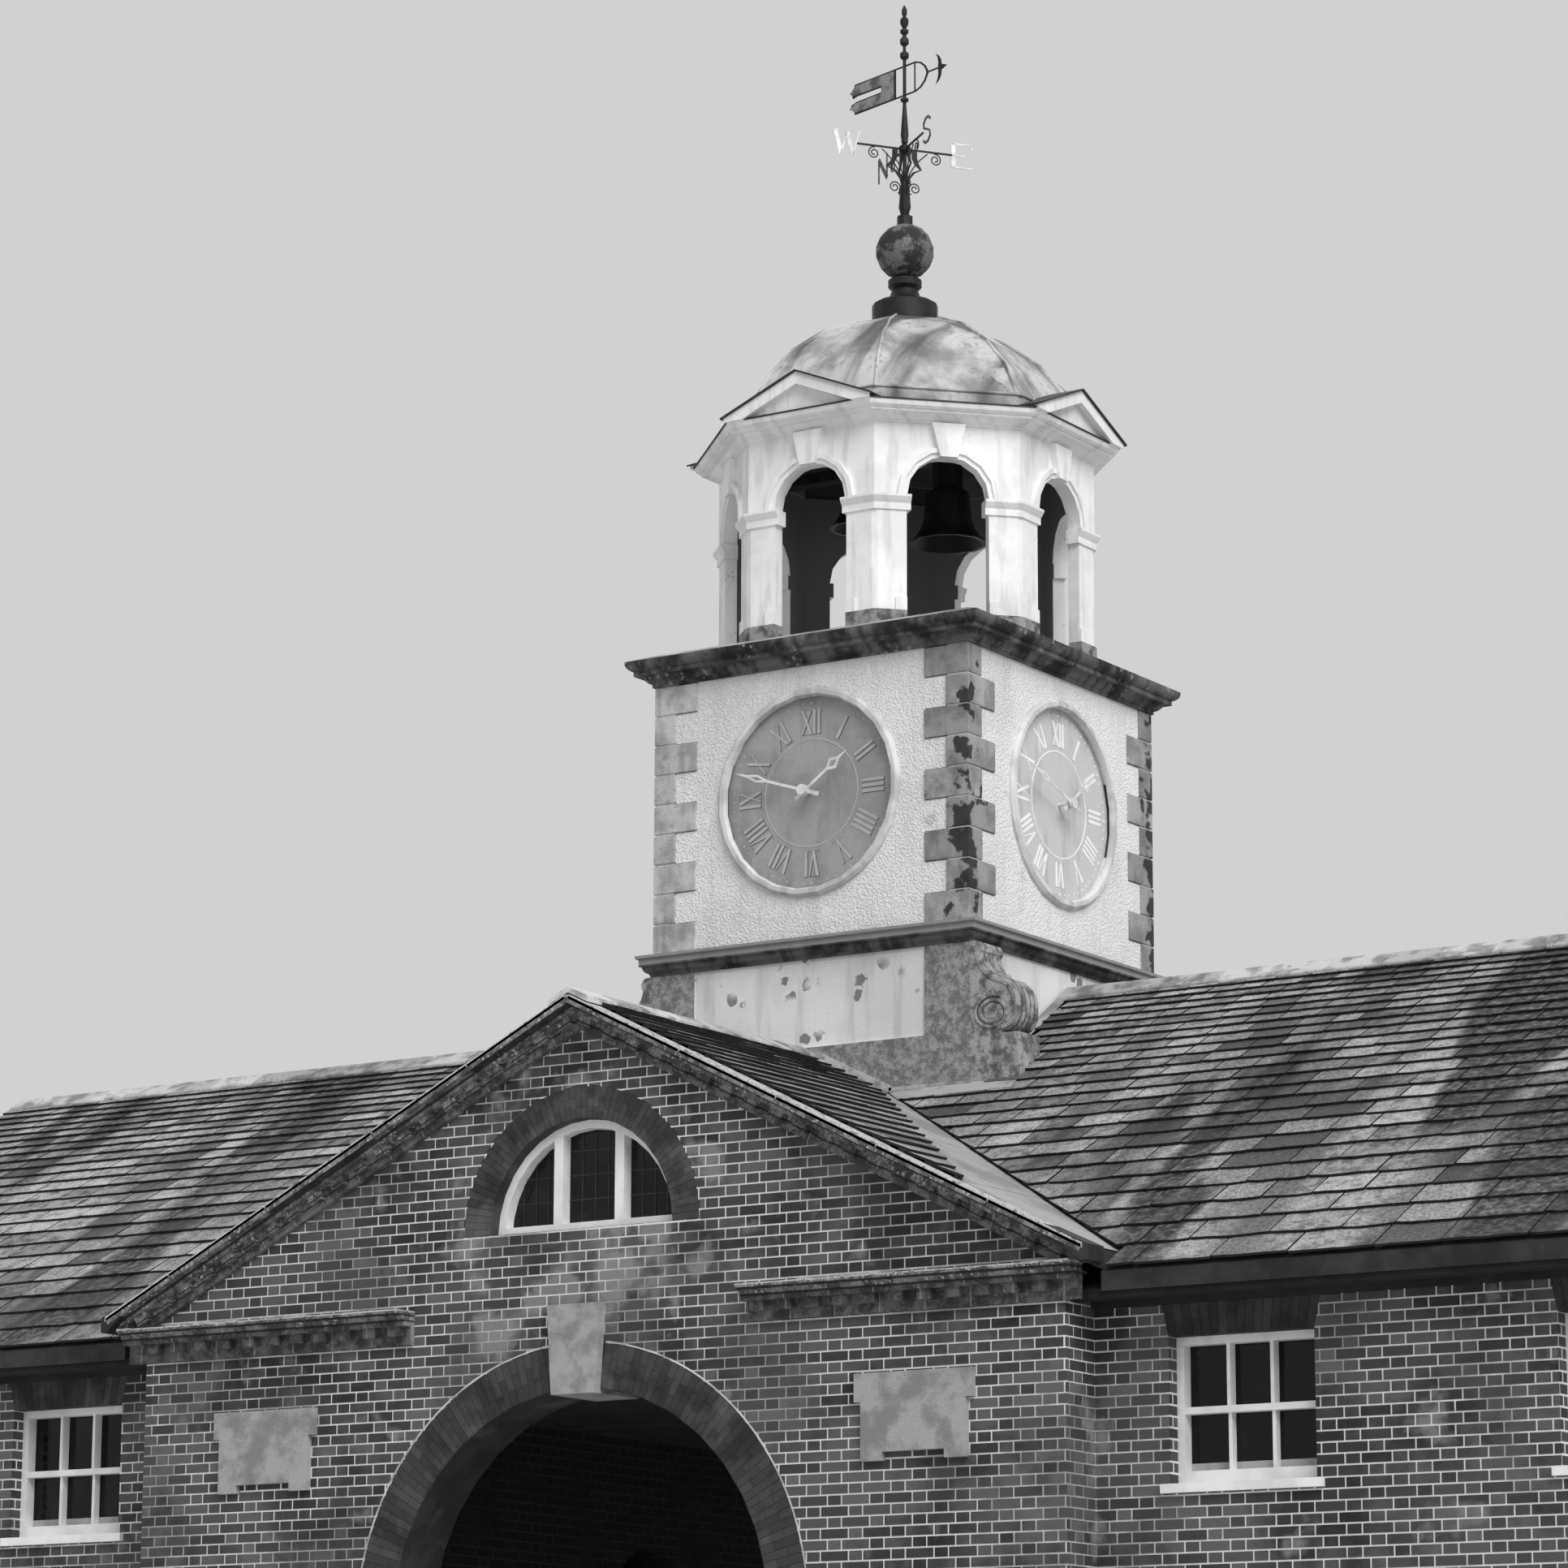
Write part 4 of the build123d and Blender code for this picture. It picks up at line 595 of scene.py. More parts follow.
class Palette:
    """Every finish of the tower, made once and looked up by name."""

    # inner= is the tone of painted shade on faces that look back at the tower's axis.
    FINISHES: tuple[Finish, ...] = (
        Brickwork("laid_brick", 226, 90, 44),
        # Painted shade: the passage's bricks and joints are drawn near black for the shade inside the arch.
        Brickwork("inner_brick", 60, 36, 20),
        Weathered("brick_face", 86, 52, patch=1.3, speck=(0.35, 220), spread=1.1, bloom=0.6, rough=0.9,
                  relief=0.5),
        Weathered("rubbed_brick", 62, 42, patch=3.0, speck=(0.3, 260), spread=0.7, bloom=0.15, rough=0.88,
                  relief=0.4),
        Weathered("jointing", 214, 160, patch=4.0, rough=0.92),
        Slating("slate"),
        Coursed("level_cornice", 5.65, brick=112),
        Coursed("raking_cornice", PLAN.apex, PLAN.gable_slope, brick=128, band=0.155),
        Weathered("roof_boards", 50, 30, rough=0.9),
        Weathered("render", 238, 226, patch=0.9, streak=(0.09, 120, 7), spot=(0.3, 120, 5, 0.6),
                  speck=(0.16, 55), rough=0.92, relief=0.8, inner=60, depth=0.008),
        Weathered("peeling_render", 238, 222, patch=0.9, streak=(0.2, 110, 7), spot=(0.85, 105, 6, 0.5),
                  speck=(0.14, 120), trim=172, rough=0.92, relief=0.6),
        Weathered("dressed_stone", 176, 104, patch=11.0, streak=(0.45, 70, 7), spot=(0.4, 62, 9, 0.5),
                  speck=(0.3, 90), rough=0.9, relief=0.6),
        # Painted shade for the dark lines in the consoles' carving.
        Weathered("carved_edge", 70, 40, patch=6.0, spot=(0.5, 190, 18, 0.55), rough=0.9),
        Weathered("keystone", 176, 140, patch=4.0, speck=(0.35, 170), rough=0.9, relief=0.6),
        Weathered("sooty_stone", 112, 40, patch=3.2, streak=(0.6, 20, 9), spot=(0.5, 190, 16, 0.5),
                  speck=(0.4, 260), rough=0.9, relief=0.6),
        Weathered("belt_stone", 104, 36, patch=4.0, streak=(0.7, 20, 9), speck=(0.4, 260), crown=0.75,
                  rough=0.9, relief=0.6),
        Weathered("cupola_paint", 242, 228, patch=2.2, streak=(0.22, 130, 11), spot=(0.4, 120, 26, 0.62),
                  speck=(0.06, 260), rough=0.6, relief=0.2, inner=112),
        Weathered("foot_stone", 158, 84, patch=9.0, streak=(0.4, 60, 7), speck=(0.4, 260), inner=90),
        Weathered("joinery_paint", 242, 226, patch=3.0, streak=(0.1, 160, 7), speck=(0.05, 260), rough=0.5,
                  relief=0.15),
        Weathered("dome_lead", 205, 142, patch=1.8, streak=(0.9, 60, 3.2), spot=(0.4, 78, 16, 0.5),
                  speck=(0.3, 140), rough=0.6, relief=0.4, inner=70),
        Weathered("flat_lead", 178, 124, patch=2.6, spot=(0.3, 80, 16, 0.55), speck=(0.25, 260), rough=0.6,
                  relief=0.3),
        Weathered("valley_lead", 172, 140, patch=1.6, streak=(0.2, 60, 7), speck=(0.35, 90), rough=0.6),
        Weathered("lead_edge", 40, 20, patch=5.0, rough=0.6),
        Weathered("mortar", 205, 150, patch=7.0, speck=(0.3, 260), rough=0.95, relief=0.6),
        Weathered("dial_face", 166, 150, patch=2.4, streak=(0.2, 95, 7), speck=(0.25, 200), rough=0.7,
                  relief=0.2, end=208),
        Weathered("dial_ring", 226, 190, patch=2.6, streak=(0.35, 110, 7), speck=(0.15, 260), rough=0.8,
                  relief=0.3),
        Weathered("gilt_hand", 232, 205, patch=9.0, speck=(0.1, 260), rough=0.45, metallic=0.1, relief=0.1),
        Weathered("black_iron", 26, 14, patch=8.0, spot=(0.2, 80, 16, 0.55), speck=(0.3, 260), rough=0.55,
                  metallic=0.3, relief=0.3),
        # Painted shade: the eaves band is drawn near black all over for the shade under the slates' edge.
        Weathered("eaves_paint", 16, 9, patch=3.0, rough=0.8),
        Weathered("letter_paint", 240, 215, patch=12.0, rough=0.6),
        Weathered("letter_back", 92, 50, patch=12.0, rough=0.6),
        Weathered("banner_paint", 158, 96, patch=9.0, streak=(0.4, 60, 7), speck=(0.4, 260), rough=0.7),
        Weathered("bell_metal", 34, 18, patch=6.0, streak=(0.2, 90, 7), speck=(0.3, 260), rough=0.5,
                  metallic=0.4, relief=0.3),
        Weathered("mottled_ball", 112, 40, patch=6.0, limits=(0.46, 0.56), streak=(0.3, 30, 9),
                  spot=(0.5, 150, 12, 0.55), speck=(0.5, 60), rough=0.8, relief=0.5),
        Weathered("oak_beam", 44, 24, patch=5.0, streak=(0.3, 60, 7), rough=0.85),
        Weathered("quoin_stone", 186, 150, patch=3.4, streak=(0.4, 88, 7), spot=(0.3, 96, 11, 0.5),
                  speck=(0.3, 110), soot=0.93, spread=0.7, rough=0.9, relief=0.6),
        Weathered("quoin_joint", 226, 190, patch=6.0, rough=0.9),
        Weathered("ridge_stone", 205, 140, patch=5.0, spot=(0.5, 70, 16, 0.55), speck=(0.35, 260), spread=0.6,
                  rough=0.9, relief=0.5),
        Weathered("dial_marks", 186, 172, patch=6.0, speck=(0.15, 260), rough=0.7, relief=0.1),
        Weathered("dial_shade", 92, 78, patch=6.0, speck=(0.1, 260), rough=0.8, relief=0.1),
        Weathered("dial_marks_pale", 252, 240, patch=6.0, speck=(0.1, 260), rough=0.7, relief=0.1),
        Weathered("inner_board", 176, 150, patch=4.0, rough=0.7, relief=0.1),
        Weathered("lead_came", 34, 22, patch=8.0, rough=0.6, relief=0.2),
        DarkGlass("window_glass", 7),
        DarkGlass("lunette_glass", 12),
        Weathered("pale_floor", 214, 213, patch=0.3, speck=(0.01, 260), rough=0.95, relief=0.05),
    )

    def __init__(self) -> None:
        """Builds the shared effects and all the finishes."""
        Effects().build()
        self.made = {finish.name: finish.make() for finish in self.FINISHES}

    def dress(self, thing: bpy.types.Object, name: str) -> None:
        """Gives an object one finish all over."""
        thing.data.materials.clear()
        thing.data.materials.append(self.made[name])


class Draft:
    """Corners, faces and a tone for each face of one piece under construction."""

    def __init__(self, name: str, chance: random.Random | None = None) -> None:
        """Starts an empty piece.

        Args:
            name: The piece's name in the scene.
            chance: The source of its differences, if it has any.
        """
        self.name, self.chance = name, chance
        self.corners: list[Vector] = []
        self.faces: list[tuple[int, ...]] = []
        self.tones: list[float] = []
        self.mirror = (1, 1)

    def prism(self, ring: Sequence[Vector], shift: Vector, tone: float = 0.5) -> None:
        """A closed solid from a ring, anticlockwise as seen from outside, carried along a vector.

        Args:
            ring: The outer face's corners.
            shift: From the outer face to the back.
            tone: The value kept on its faces.
        """
        scale = Vector((*self.mirror, 1))
        ring = [corner * scale for corner in ring]
        if self.mirror[0] * self.mirror[1] < 0:
            ring.reverse()
        start, count = len(self.corners), len(ring)
        self.corners += ring
        self.corners += [corner + shift * scale for corner in ring]
        self.faces.append(tuple(range(start, start + count)))
        self.faces.append(tuple(range(start + 2 * count - 1, start + count - 1, -1)))
        for here in range(start, start + count):
            there = start + (here - start + 1) % count
            self.faces.append((here, here + count, there + count, there))
        self.tones += [tone] * (count + 2)

    def block(self, low: Sequence[float], high: Sequence[float], tone: float = 0.5) -> None:
        """A plain box between two corners."""
        (x0, y0, z0), (x1, y1, z1) = low, high
        self.prism(upright([(x0, z0), (x1, z0), (x1, z1), (x0, z1)], y0), Vector((0, y1 - y0, 0)), tone)

    def sweep(self, rings: Sequence[Sequence[Vector]], tone: float = 0.5) -> None:
        """A skin with closed ends through rings of corners.

        Args:
            rings: Rings with equal numbers of corners, anticlockwise as seen from ahead.
            tone: The value kept on its faces.
        """
        scale = Vector((*self.mirror, 1))
        start, count, total = len(self.corners), len(rings[0]), len(rings)
        for ring in rings:
            self.corners += [corner * scale for corner in ring]
        made = []
        for here in range(start, start + (total - 1) * count, count):
            for index in range(count):
                after = (index + 1) % count
                made.append((here + index, here + after, here + count + after, here + count + index))
        made.append(tuple(range(start + count - 1, start - 1, -1)))
        made.append(tuple(range(start + (total - 1) * count, start + total * count)))
        if self.mirror[0] * self.mirror[1] < 0:
            made = [face[::-1] for face in made]
        self.faces += made
        self.tones += [tone] * len(made)

    def strip(self, path: Sequence[Vector], normal: Vector, section: Sequence[Point]) -> None:
        """Carries a section along a path that lies in a plane.

        Args:
            path: The path's points.
            normal: The plane's normal.
            section: Corners as (to the left of the way ahead, out of the plane), anticlockwise.
        """
        rings = []
        for index, point in enumerate(path):
            before, after = path[max(index - 1, 0)], path[min(index + 1, len(path) - 1)]
            side = normal.cross((after - before).normalized())
            rings.append([point + side * across + normal * out for across, out in section])
        self.sweep(rings)

    def patch(self, flat: Sequence[Point], origin: Vector, right: Vector, thick: float) -> None:
        """A thin plate on an upright surface, from its outline as seen from in front.

        Args:
            flat: The outline as (to the right, up).
            origin: The outline's own origin.
            right: The way to the right on the surface.
            thick: How far it stands out.
        """
        total = sum(a[0] * b[1] - b[0] * a[1] for a, b in zip(flat, [*flat[1:], flat[0]]))
        out = right.cross(UP)
        ring = [origin + right * u + UP * w + out * thick for u, w in (flat if total > 0 else flat[::-1])]
        self.prism(ring, -out * (thick + 0.001))

    def make(self, palette: Palette, finish: str, body: str = BUILDING, bevel: float = 0.0,
             smooth: bool = False) -> bpy.types.Object:
        """Turns the draft into an object that rides a body.

        Args:
            palette: The finishes.
            finish: The finish's name.
            body: The CAD body to ride.
            bevel: Width of the rounding on its edges.
            smooth: Whether its faces are shaded as one round surface.

        Returns:
            The new object.
        """
        mesh = bpy.data.meshes.new(self.name)
        mesh.from_pydata([tuple(corner) for corner in self.corners], [], self.faces)
        mesh.attributes.new("tone", "FLOAT", "FACE").data.foreach_set("value", self.tones)
        made = bpy.data.objects.new(self.name, mesh)
        bpy.context.scene.collection.objects.link(made)
        if smooth:
            mesh.shade_smooth()
            mesh.set_sharp_from_angle(angle=math.radians(50))
        if bevel > 0:
            rounding = made.modifiers.new("rounded_edges", "BEVEL")
            rounding.width = bevel
            rounding.segments = 2
            rounding.limit_method = "ANGLE"
        palette.dress(made, finish)
        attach(made, body)
        LOG.info("%s: %d faces in %s", self.name, len(self.faces), finish)
        return made


def quarters(*drafts: Draft) -> Iterator[int]:
    """Mirrors drafts from the front right quarter into each of the four by turns.

    Args:
        drafts: The pieces under construction.

    Returns:
        The hand of each quarter, -1 for the left.
    """
    for hand in HANDS:
        for sign in HANDS:
            for draft in drafts:
                draft.mirror = (hand, sign)
            yield hand


def upright(flat: Iterable[Point], y: float) -> list[Vector]:
    """Points (x, z) carried to an upright plane that faces the front."""
    return [Vector((x, y, z)) for x, z in flat]


def compass(angle: float) -> tuple[Vector, Vector]:
    """The level way out at an angle, and the way round to its left."""
    return Vector((math.cos(angle), math.sin(angle), 0)), Vector((-math.sin(angle), math.cos(angle), 0))


def flank(hand: int) -> str:
    """A hand in words."""
    return "right" if hand > 0 else "left"


def flat_bar(width: float, depth: float, sunk: float = 0.0) -> list[Point]:
    """A rectangular section for a strip, standing out of its plane."""
    return [(width / 2, -sunk), (width / 2, depth), (-width / 2, depth), (-width / 2, -sunk)]


def round_bar(radius: float, sides: int = 6) -> list[Point]:
    """A round section for a strip."""
    turns = [2 * math.pi * index / sides for index in range(sides)]
    return [(radius * math.cos(turn), radius * math.sin(turn)) for turn in turns]


def arc(start: Point, end: Point, sag: float, steps: int) -> list[Point]:
    """Points along an arc.

    Args:
        start: Its first point.
        end: Its last point.
        sag: How far it bulges to the left.
        steps: How many chords it has.

    Returns:
        The points, both ends included.
    """
    run = (end[0] - start[0], end[1] - start[1])
    half = math.hypot(*run) / 2
    radius = (half ** 2 + sag ** 2) / (2 * sag)
    sweep = 2 * math.atan(sag / half)
    points = []
    for step in range(steps + 1):
        angle = sweep * (2 * step / steps - 1)
        along = 0.5 + radius * math.sin(angle) / (2 * half)
        out = (sag - radius * (1 - math.cos(angle))) / (2 * half)
        points.append((start[0] + run[0] * along - run[1] * out, start[1] + run[1] * along + run[0] * out))
    return points


def spiral(middle: Point, size: Point, start: float, turns: float, shrink: float, steps: int) -> list[Point]:
    """Points on a spiral that winds in.

    Args:
        middle: Its middle.
        size: Its first radii, across and up.
        start: The angle of its first point, in degrees.
        turns: How often it goes round.
        shrink: The share of the radii that is left at its end.
        steps: How many chords it has.

    Returns:
        The points, both ends included.
    """
    points = []
    for step in range(steps + 1):
        share = 1 - (1 - shrink) * step / steps
        angle = math.radians(start) + 2 * math.pi * turns * step / steps
        points.append((middle[0] + size[0] * share * math.cos(angle),
                       middle[1] + size[1] * share * math.sin(angle)))
    return points


def cut(shape: list[Point], *lines: tuple[Point, Point]) -> list[Point]:
    """Keeps the part of a flat shape to the left of every line.

    Args:
        shape: The outline's corners.
        lines: Each line as two points.

    Returns:
        The corners of what is left.
    """
    for (x, y), end in lines:
        kept = []
        for here, there in zip(shape, [*shape[1:], *shape[:1]]):
            first, second = ((end[0] - x) * (p[1] - y) - (end[1] - y) * (p[0] - x) for p in (here, there))
            if first >= 0:
                kept.append(here)
            if first * second < 0:
                share = first / (first - second)
                kept.append((here[0] + (there[0] - here[0]) * share, here[1] + (there[1] - here[1]) * share))
        shape = kept
    return shape


def area(shape: Sequence[Point]) -> float:
    """The area of a flat shape."""
    return abs(sum(a[0] * b[1] - b[0] * a[1] for a, b in zip(shape, [*shape[1:], *shape[:1]]))) / 2


@dataclass
class Gap:
    """Something that interrupts the bricks: a slice (left, right) of the wall at each height."""

    low: float
    high: float
    slice_at: Callable[[float], Point]
    least: float = 0.3

    def cut(self, z0: float, z1: float) -> Quad | None:
        """The blocked stretch at a course's foot and head, or None if the course is clear."""
        if min(z1, self.high) - max(z0, self.low) < self.least * (z1 - z0):
            return None
        foot, head = (self.slice_at(min(max(z, self.low), self.high)) for z in (z0, z1))
        return (*foot, *head)


def flat_gap(left: float, right: float, low: float, high: float) -> Gap:
    """A rectangular interruption."""
    return Gap(low, high, lambda z: (left, right))


def round_gap(spring: float, radius: float) -> Gap:
    """A half-round interruption in the middle, over its springing line."""
    def slice_at(z: float) -> Point:
        """Its width at a height."""
        half = math.sqrt(max(radius ** 2 - (z - spring) ** 2, 0.0))
        return (-half, half)
    return Gap(spring, spring + radius, slice_at)


def splayed_gap(middle: float, low: float, high: float, foot: float, head: float) -> Gap:
    """A tapering interruption with its half widths at foot and head."""
    def slice_at(z: float) -> Point:
        """Its width at a height."""
        half = foot + (head - foot) * (z - low) / (high - low)
        return (middle - half, middle + half)
    return Gap(low, high, slice_at)


@dataclass
class BrickFace:
    """One flat face of a wall, with a modelled brick for every brick that shows."""

    corner: Vector
    along: Vector
    outward: Vector
    limits: Callable[[float], Point]
    high: float
    gaps: list[Gap] = field(default_factory=list)
    course: float = 0.075
    long: float = 0.225
    short: float = 0.1125
    joint: float = 0.012
    proud: float = 0.004
    sunk: float = 0.004
    least_height: float = 0.015
    least_area: float = 0.0008

    def spans(self, z0: float, z1: float) -> Iterable[Quad]:
        """The clear stretches of one course, as left and right ends at its foot, then at its head."""
        found = (gap.cut(z0, z1) for gap in self.gaps)
        cuts = sorted((ends for ends in found if ends), key=lambda ends: ends[0] + ends[1])
        foot, head = self.limits(z0), self.limits(z1)
        left0, left1 = foot[0], head[0]
        for ends in cuts:
            yield left0, ends[0], left1, ends[2]
            left0, left1 = ends[1], ends[3]
        yield left0, foot[1], left1, head[1]

    def lay(self, draft: Draft) -> None:
        """Lays every brick.

        Args:
            draft: The piece that the bricks go in.
        """
        for index in range(math.ceil(self.high / self.course - 0.3)):
            course = index * self.course, min((index + 1) * self.course, self.high)
            shift = (self.long + self.short) * (Bond.ODD if index % 2 else Bond.EVEN).value
            if course[1] - course[0] - self.joint >= self.least_height:
                for ends in self.spans(*course):
                    self.lay_span(draft, course, ends, shift)

    def lay_span(self, draft: Draft, course: Point, ends: Quad, shift: float) -> None:
        """Lays one clear stretch of a course.

        Args:
            draft: The piece that the bricks go in.
            course: Foot and head of the course.
            ends: Left and right ends at foot and head.
            shift: How far the bond is moved in this course.
        """
        left0, right0, left1, right1 = ends
        (z0, z1), half, period = course, self.joint / 2, self.long + self.short
        low, high = min(left0, left1), max(right0, right1)
        edge = math.floor((low + shift) / period) * period - shift
        while edge < high:
            for width in (self.long, self.short):
                start, stop = edge + half, edge + width - half
                edge += width
                if stop < low or start > high:
                    continue
                shape = [(start, z0 + half), (stop, z0 + half), (stop, z1 - half), (start, z1 - half)]
                shape = cut(shape, ((left1, z1), (left0, z0)), ((right0, z0), (right1, z1)))
                if len(shape) >= 3 and area(shape) >= self.least_area:
                    rise = self.outward * (self.proud * draft.chance.uniform(0.55, 1.0))
                    ring = [self.corner + self.along * u + UP * z + rise for u, z in shape]
                    draft.prism(ring, -rise - self.outward * self.sunk, draft.chance.random())


class Part:
    """A sub-assembly that is built from its own sizes."""

    def build(self, palette: Palette) -> None:
        """Builds the part's pieces.

        Args:
            palette: The finishes.
        """
        raise NotImplementedError


@dataclass
class Walls(Part):
    """The brick walls of the pavilion and the wings."""

    end: float = 9.23
    arch_outer: float = 1.934
    lunette_outer: float = 1.03
    keystone: tuple[float, ...] = (5.362, 5.62, 0.215, 0.24)
    returns: Quad = (1.45, 4.2, 5.41, 5.65)
    tablet_x: float = 2.785
    tablet: tuple[Triple, ...] = ((0.42, 4.47, 4.81), (0.472, 4.81, 5.005))
    rake_drop: float = 0.21
    roof_drop: float = 0.14
    return_top: float = 5.5
    eaves_low: float = 5.385
    sill: Point = (0.055, 0.06)
    flat_arch: Point = (0.045, 0.21)

    def build(self, palette: Palette) -> None:
        """Lays all the faces."""
        chance = random.Random(75)
        for side in (Side.FRONT, Side.REAR):
            where = side.name.lower()
            flanks = [self.return_face(side, hand) for hand in HANDS]
            self.lay(palette, chance, f"pavilion_bricks_{where}", self.pavilion_face(side), *flanks)
            for hand in HANDS:
                self.lay(palette, chance, f"wing_bricks_{where}_{flank(hand)}", self.wing_face(side, hand))
        for hand in HANDS:
            self.lay(palette, chance, f"end_bricks_{flank(hand)}", self.end_face(hand))

    def lay(self, palette: Palette, chance: random.Random, name: str, *faces: BrickFace) -> None:
        """Makes one piece of one or more faces."""
        draft = Draft(name, chance)
        for face in faces:
            face.lay(draft)
        draft.make(palette, "brick_face")

    def pavilion_face(self, side: Side) -> BrickFace:
        """The arched front of the pavilion, or its rear."""
        along, outward = side.axes()
        top = PLAN.apex - self.rake_drop

        def limits(z: float) -> Point:
            """The face's ends, under the raking cornices."""
            half = min(PLAN.pavilion_half, max((top - z) / PLAN.gable_slope, 0.0))
            return (-half, half)

        near, far, *levels = self.returns
        gaps = [flat_gap(-PLAN.arch_inner, PLAN.arch_inner, 0.0, PLAN.arch_spring),
                round_gap(PLAN.arch_spring, self.arch_outer), splayed_gap(0.0, *self.keystone),
                round_gap(PLAN.lunette_spring, self.lunette_outer),
                flat_gap(-far, -near, *levels), flat_gap(near, far, *levels)]
        for hand in HANDS:
            x = hand * self.tablet_x
            gaps += [flat_gap(x - half, x + half, low, high) for half, low, high in self.tablet]
        return BrickFace(outward * PLAN.front, along, outward, limits, top, gaps)

    def return_face(self, side: Side, hand: int) -> BrickFace:
        """The short flank where the pavilion stands before the wing."""
        along, outward = side.axes()
        depth = (PLAN.wing_front, PLAN.front) if hand < 0 else (-PLAN.front, -PLAN.wing_front)
        out = along * hand
        return BrickFace(out * PLAN.pavilion_half, outward * -hand, out, lambda z: depth, self.return_top)

    def wing_face(self, side: Side, hand: int) -> BrickFace:
        """A wing's long wall with its windows, sills and flat arches left free."""
        along, outward = side.axes()
        ends = (PLAN.pavilion_half, self.end) if hand > 0 else (-self.end, -PLAN.pavilion_half)
        (horn, deep), (splay, rise), half, gaps = self.sill, self.flat_arch, PLAN.window_half, []
        for middle in (x * hand for x in PLAN.windows):
            for sill, head in PLAN.storeys:
                gaps += [flat_gap(middle - half, middle + half, sill, head),
                         flat_gap(middle - half - horn, middle + half + horn, sill - deep, sill),
                         splayed_gap(middle, head, head + rise, half, half + splay)]
        return BrickFace(outward * PLAN.wing_front, along, outward, lambda z: ends, self.eaves_low, gaps)

    def end_face(self, hand: int) -> BrickFace:
        """A plain party wall up to the underside of the roof."""
        out, top = Vector((hand, 0, 0)), PLAN.ridge - self.roof_drop

        def limits(z: float) -> Point:
            """The face's ends, under the slopes."""
            half = min(PLAN.wing_front, max((top - z) / PLAN.main_slope, 0.0))
            return (-half, half)

        return BrickFace(out * self.end, Vector((0, hand, 0)), out, limits, top)


@dataclass(frozen=True)
class Ring:
    """Half a ring of gauged bricks, from its springing line to an angle in degrees."""

    spring: float
    inner: float
    outer: float
    stop: float
    pitch: float


@dataclass
class GaugedArches(Part):
    """The rubbed bricks of the arch rings, the half-round windows and the flat arches."""

    rings: tuple[Ring, ...] = (Ring(PLAN.arch_spring, PLAN.arch_inner, 1.915, 83.2, 0.066),
                               Ring(PLAN.lunette_spring, 0.79, 1.017, 90.0, 0.058))
    proud: float = 0.003
    joint: float = 0.005
    clear: float = 0.001
    breaks: Point = (0.66, 0.34)
    flat_count: int = 17
    flat_top: float = 0.585
    flat_height: float = 0.21

    def build(self, palette: Palette) -> None:
        """Sets the gauged bricks of every opening."""
        chance = random.Random(32)
        for side, sign in ((Side.FRONT, 1), (Side.REAR, -1)):
            draft = Draft(f"arch_voussoirs_{side.name.lower()}", chance)
            for hand in HANDS:
                draft.mirror = (hand, sign)
                for ring in self.rings:
                    self.ring(draft, ring)
                for middle in PLAN.windows:
                    for _, head in PLAN.storeys:
                        self.flat(draft, middle, head)
            draft.make(palette, "rubbed_brick")

    def put(self, draft: Draft, flat: Iterable[Point], front: float) -> None:
        """Sets one brick, from its outline on a wall's front."""
        y = -front - self.proud * draft.chance.uniform(0.6, 1.0)
        draft.prism(upright(flat, y), Vector((0, self.proud * 2, 0)), draft.chance.random())

    def ring(self, draft: Draft, ring: Ring) -> None:
        """The radial bricks of half a ring, broken at two radii by turns.

        Args:
            draft: The piece that the bricks go in.
            ring: The ring's sizes.
        """
        turn, half = math.radians(ring.stop), self.joint / 2
        count = round(turn * ring.outer / ring.pitch)
        for index in range(count):
            a0 = turn / count * index
            a1 = a0 + turn / count
            middle = ring.inner + (ring.outer - ring.inner) * self.breaks[index % 2]
            for r0, r1 in ((ring.inner + self.clear, middle - half), (middle + half, ring.outer)):
                polar = ((r1, a0 + half / r1), (r1, a1 - half / r1), (r0, a1 - half / r0), (r0, a0 + half / r0))
                flat = [(r * math.cos(a), ring.spring + r * math.sin(a)) for r, a in polar]
                self.put(draft, flat, PLAN.front)

    def flat(self, draft: Draft, middle: float, head: float) -> None:
        """The upright bricks of one flat arch, splayed from its middle."""
        half, foot, top = self.joint / 2, PLAN.window_half, self.flat_top
        for index in range(self.flat_count):
            left, right = (-1 + 2 * (index + side) / self.flat_count for side in (0, 1))
            low, high = head + self.clear, head + self.flat_height
            self.put(draft, [(middle + foot * left + half, low), (middle + foot * right - half, low),
                             (middle + top * right - half, high), (middle + top * left + half, high)],
                     PLAN.wing_front)


@dataclass
class Slope:
    """One quarter's roof slope, laid out as (along the eaves, up the slope)."""

    corner: Vector
    along: Vector
    up: Vector
    out: Vector
    length: float
    left: float
    right: float
    cut: tuple[Point, Point]
    beside_wall: bool = False
    wall_low: float = 0.0
    wall_edge: float = 0.0
    foot_edge: float = 0.0


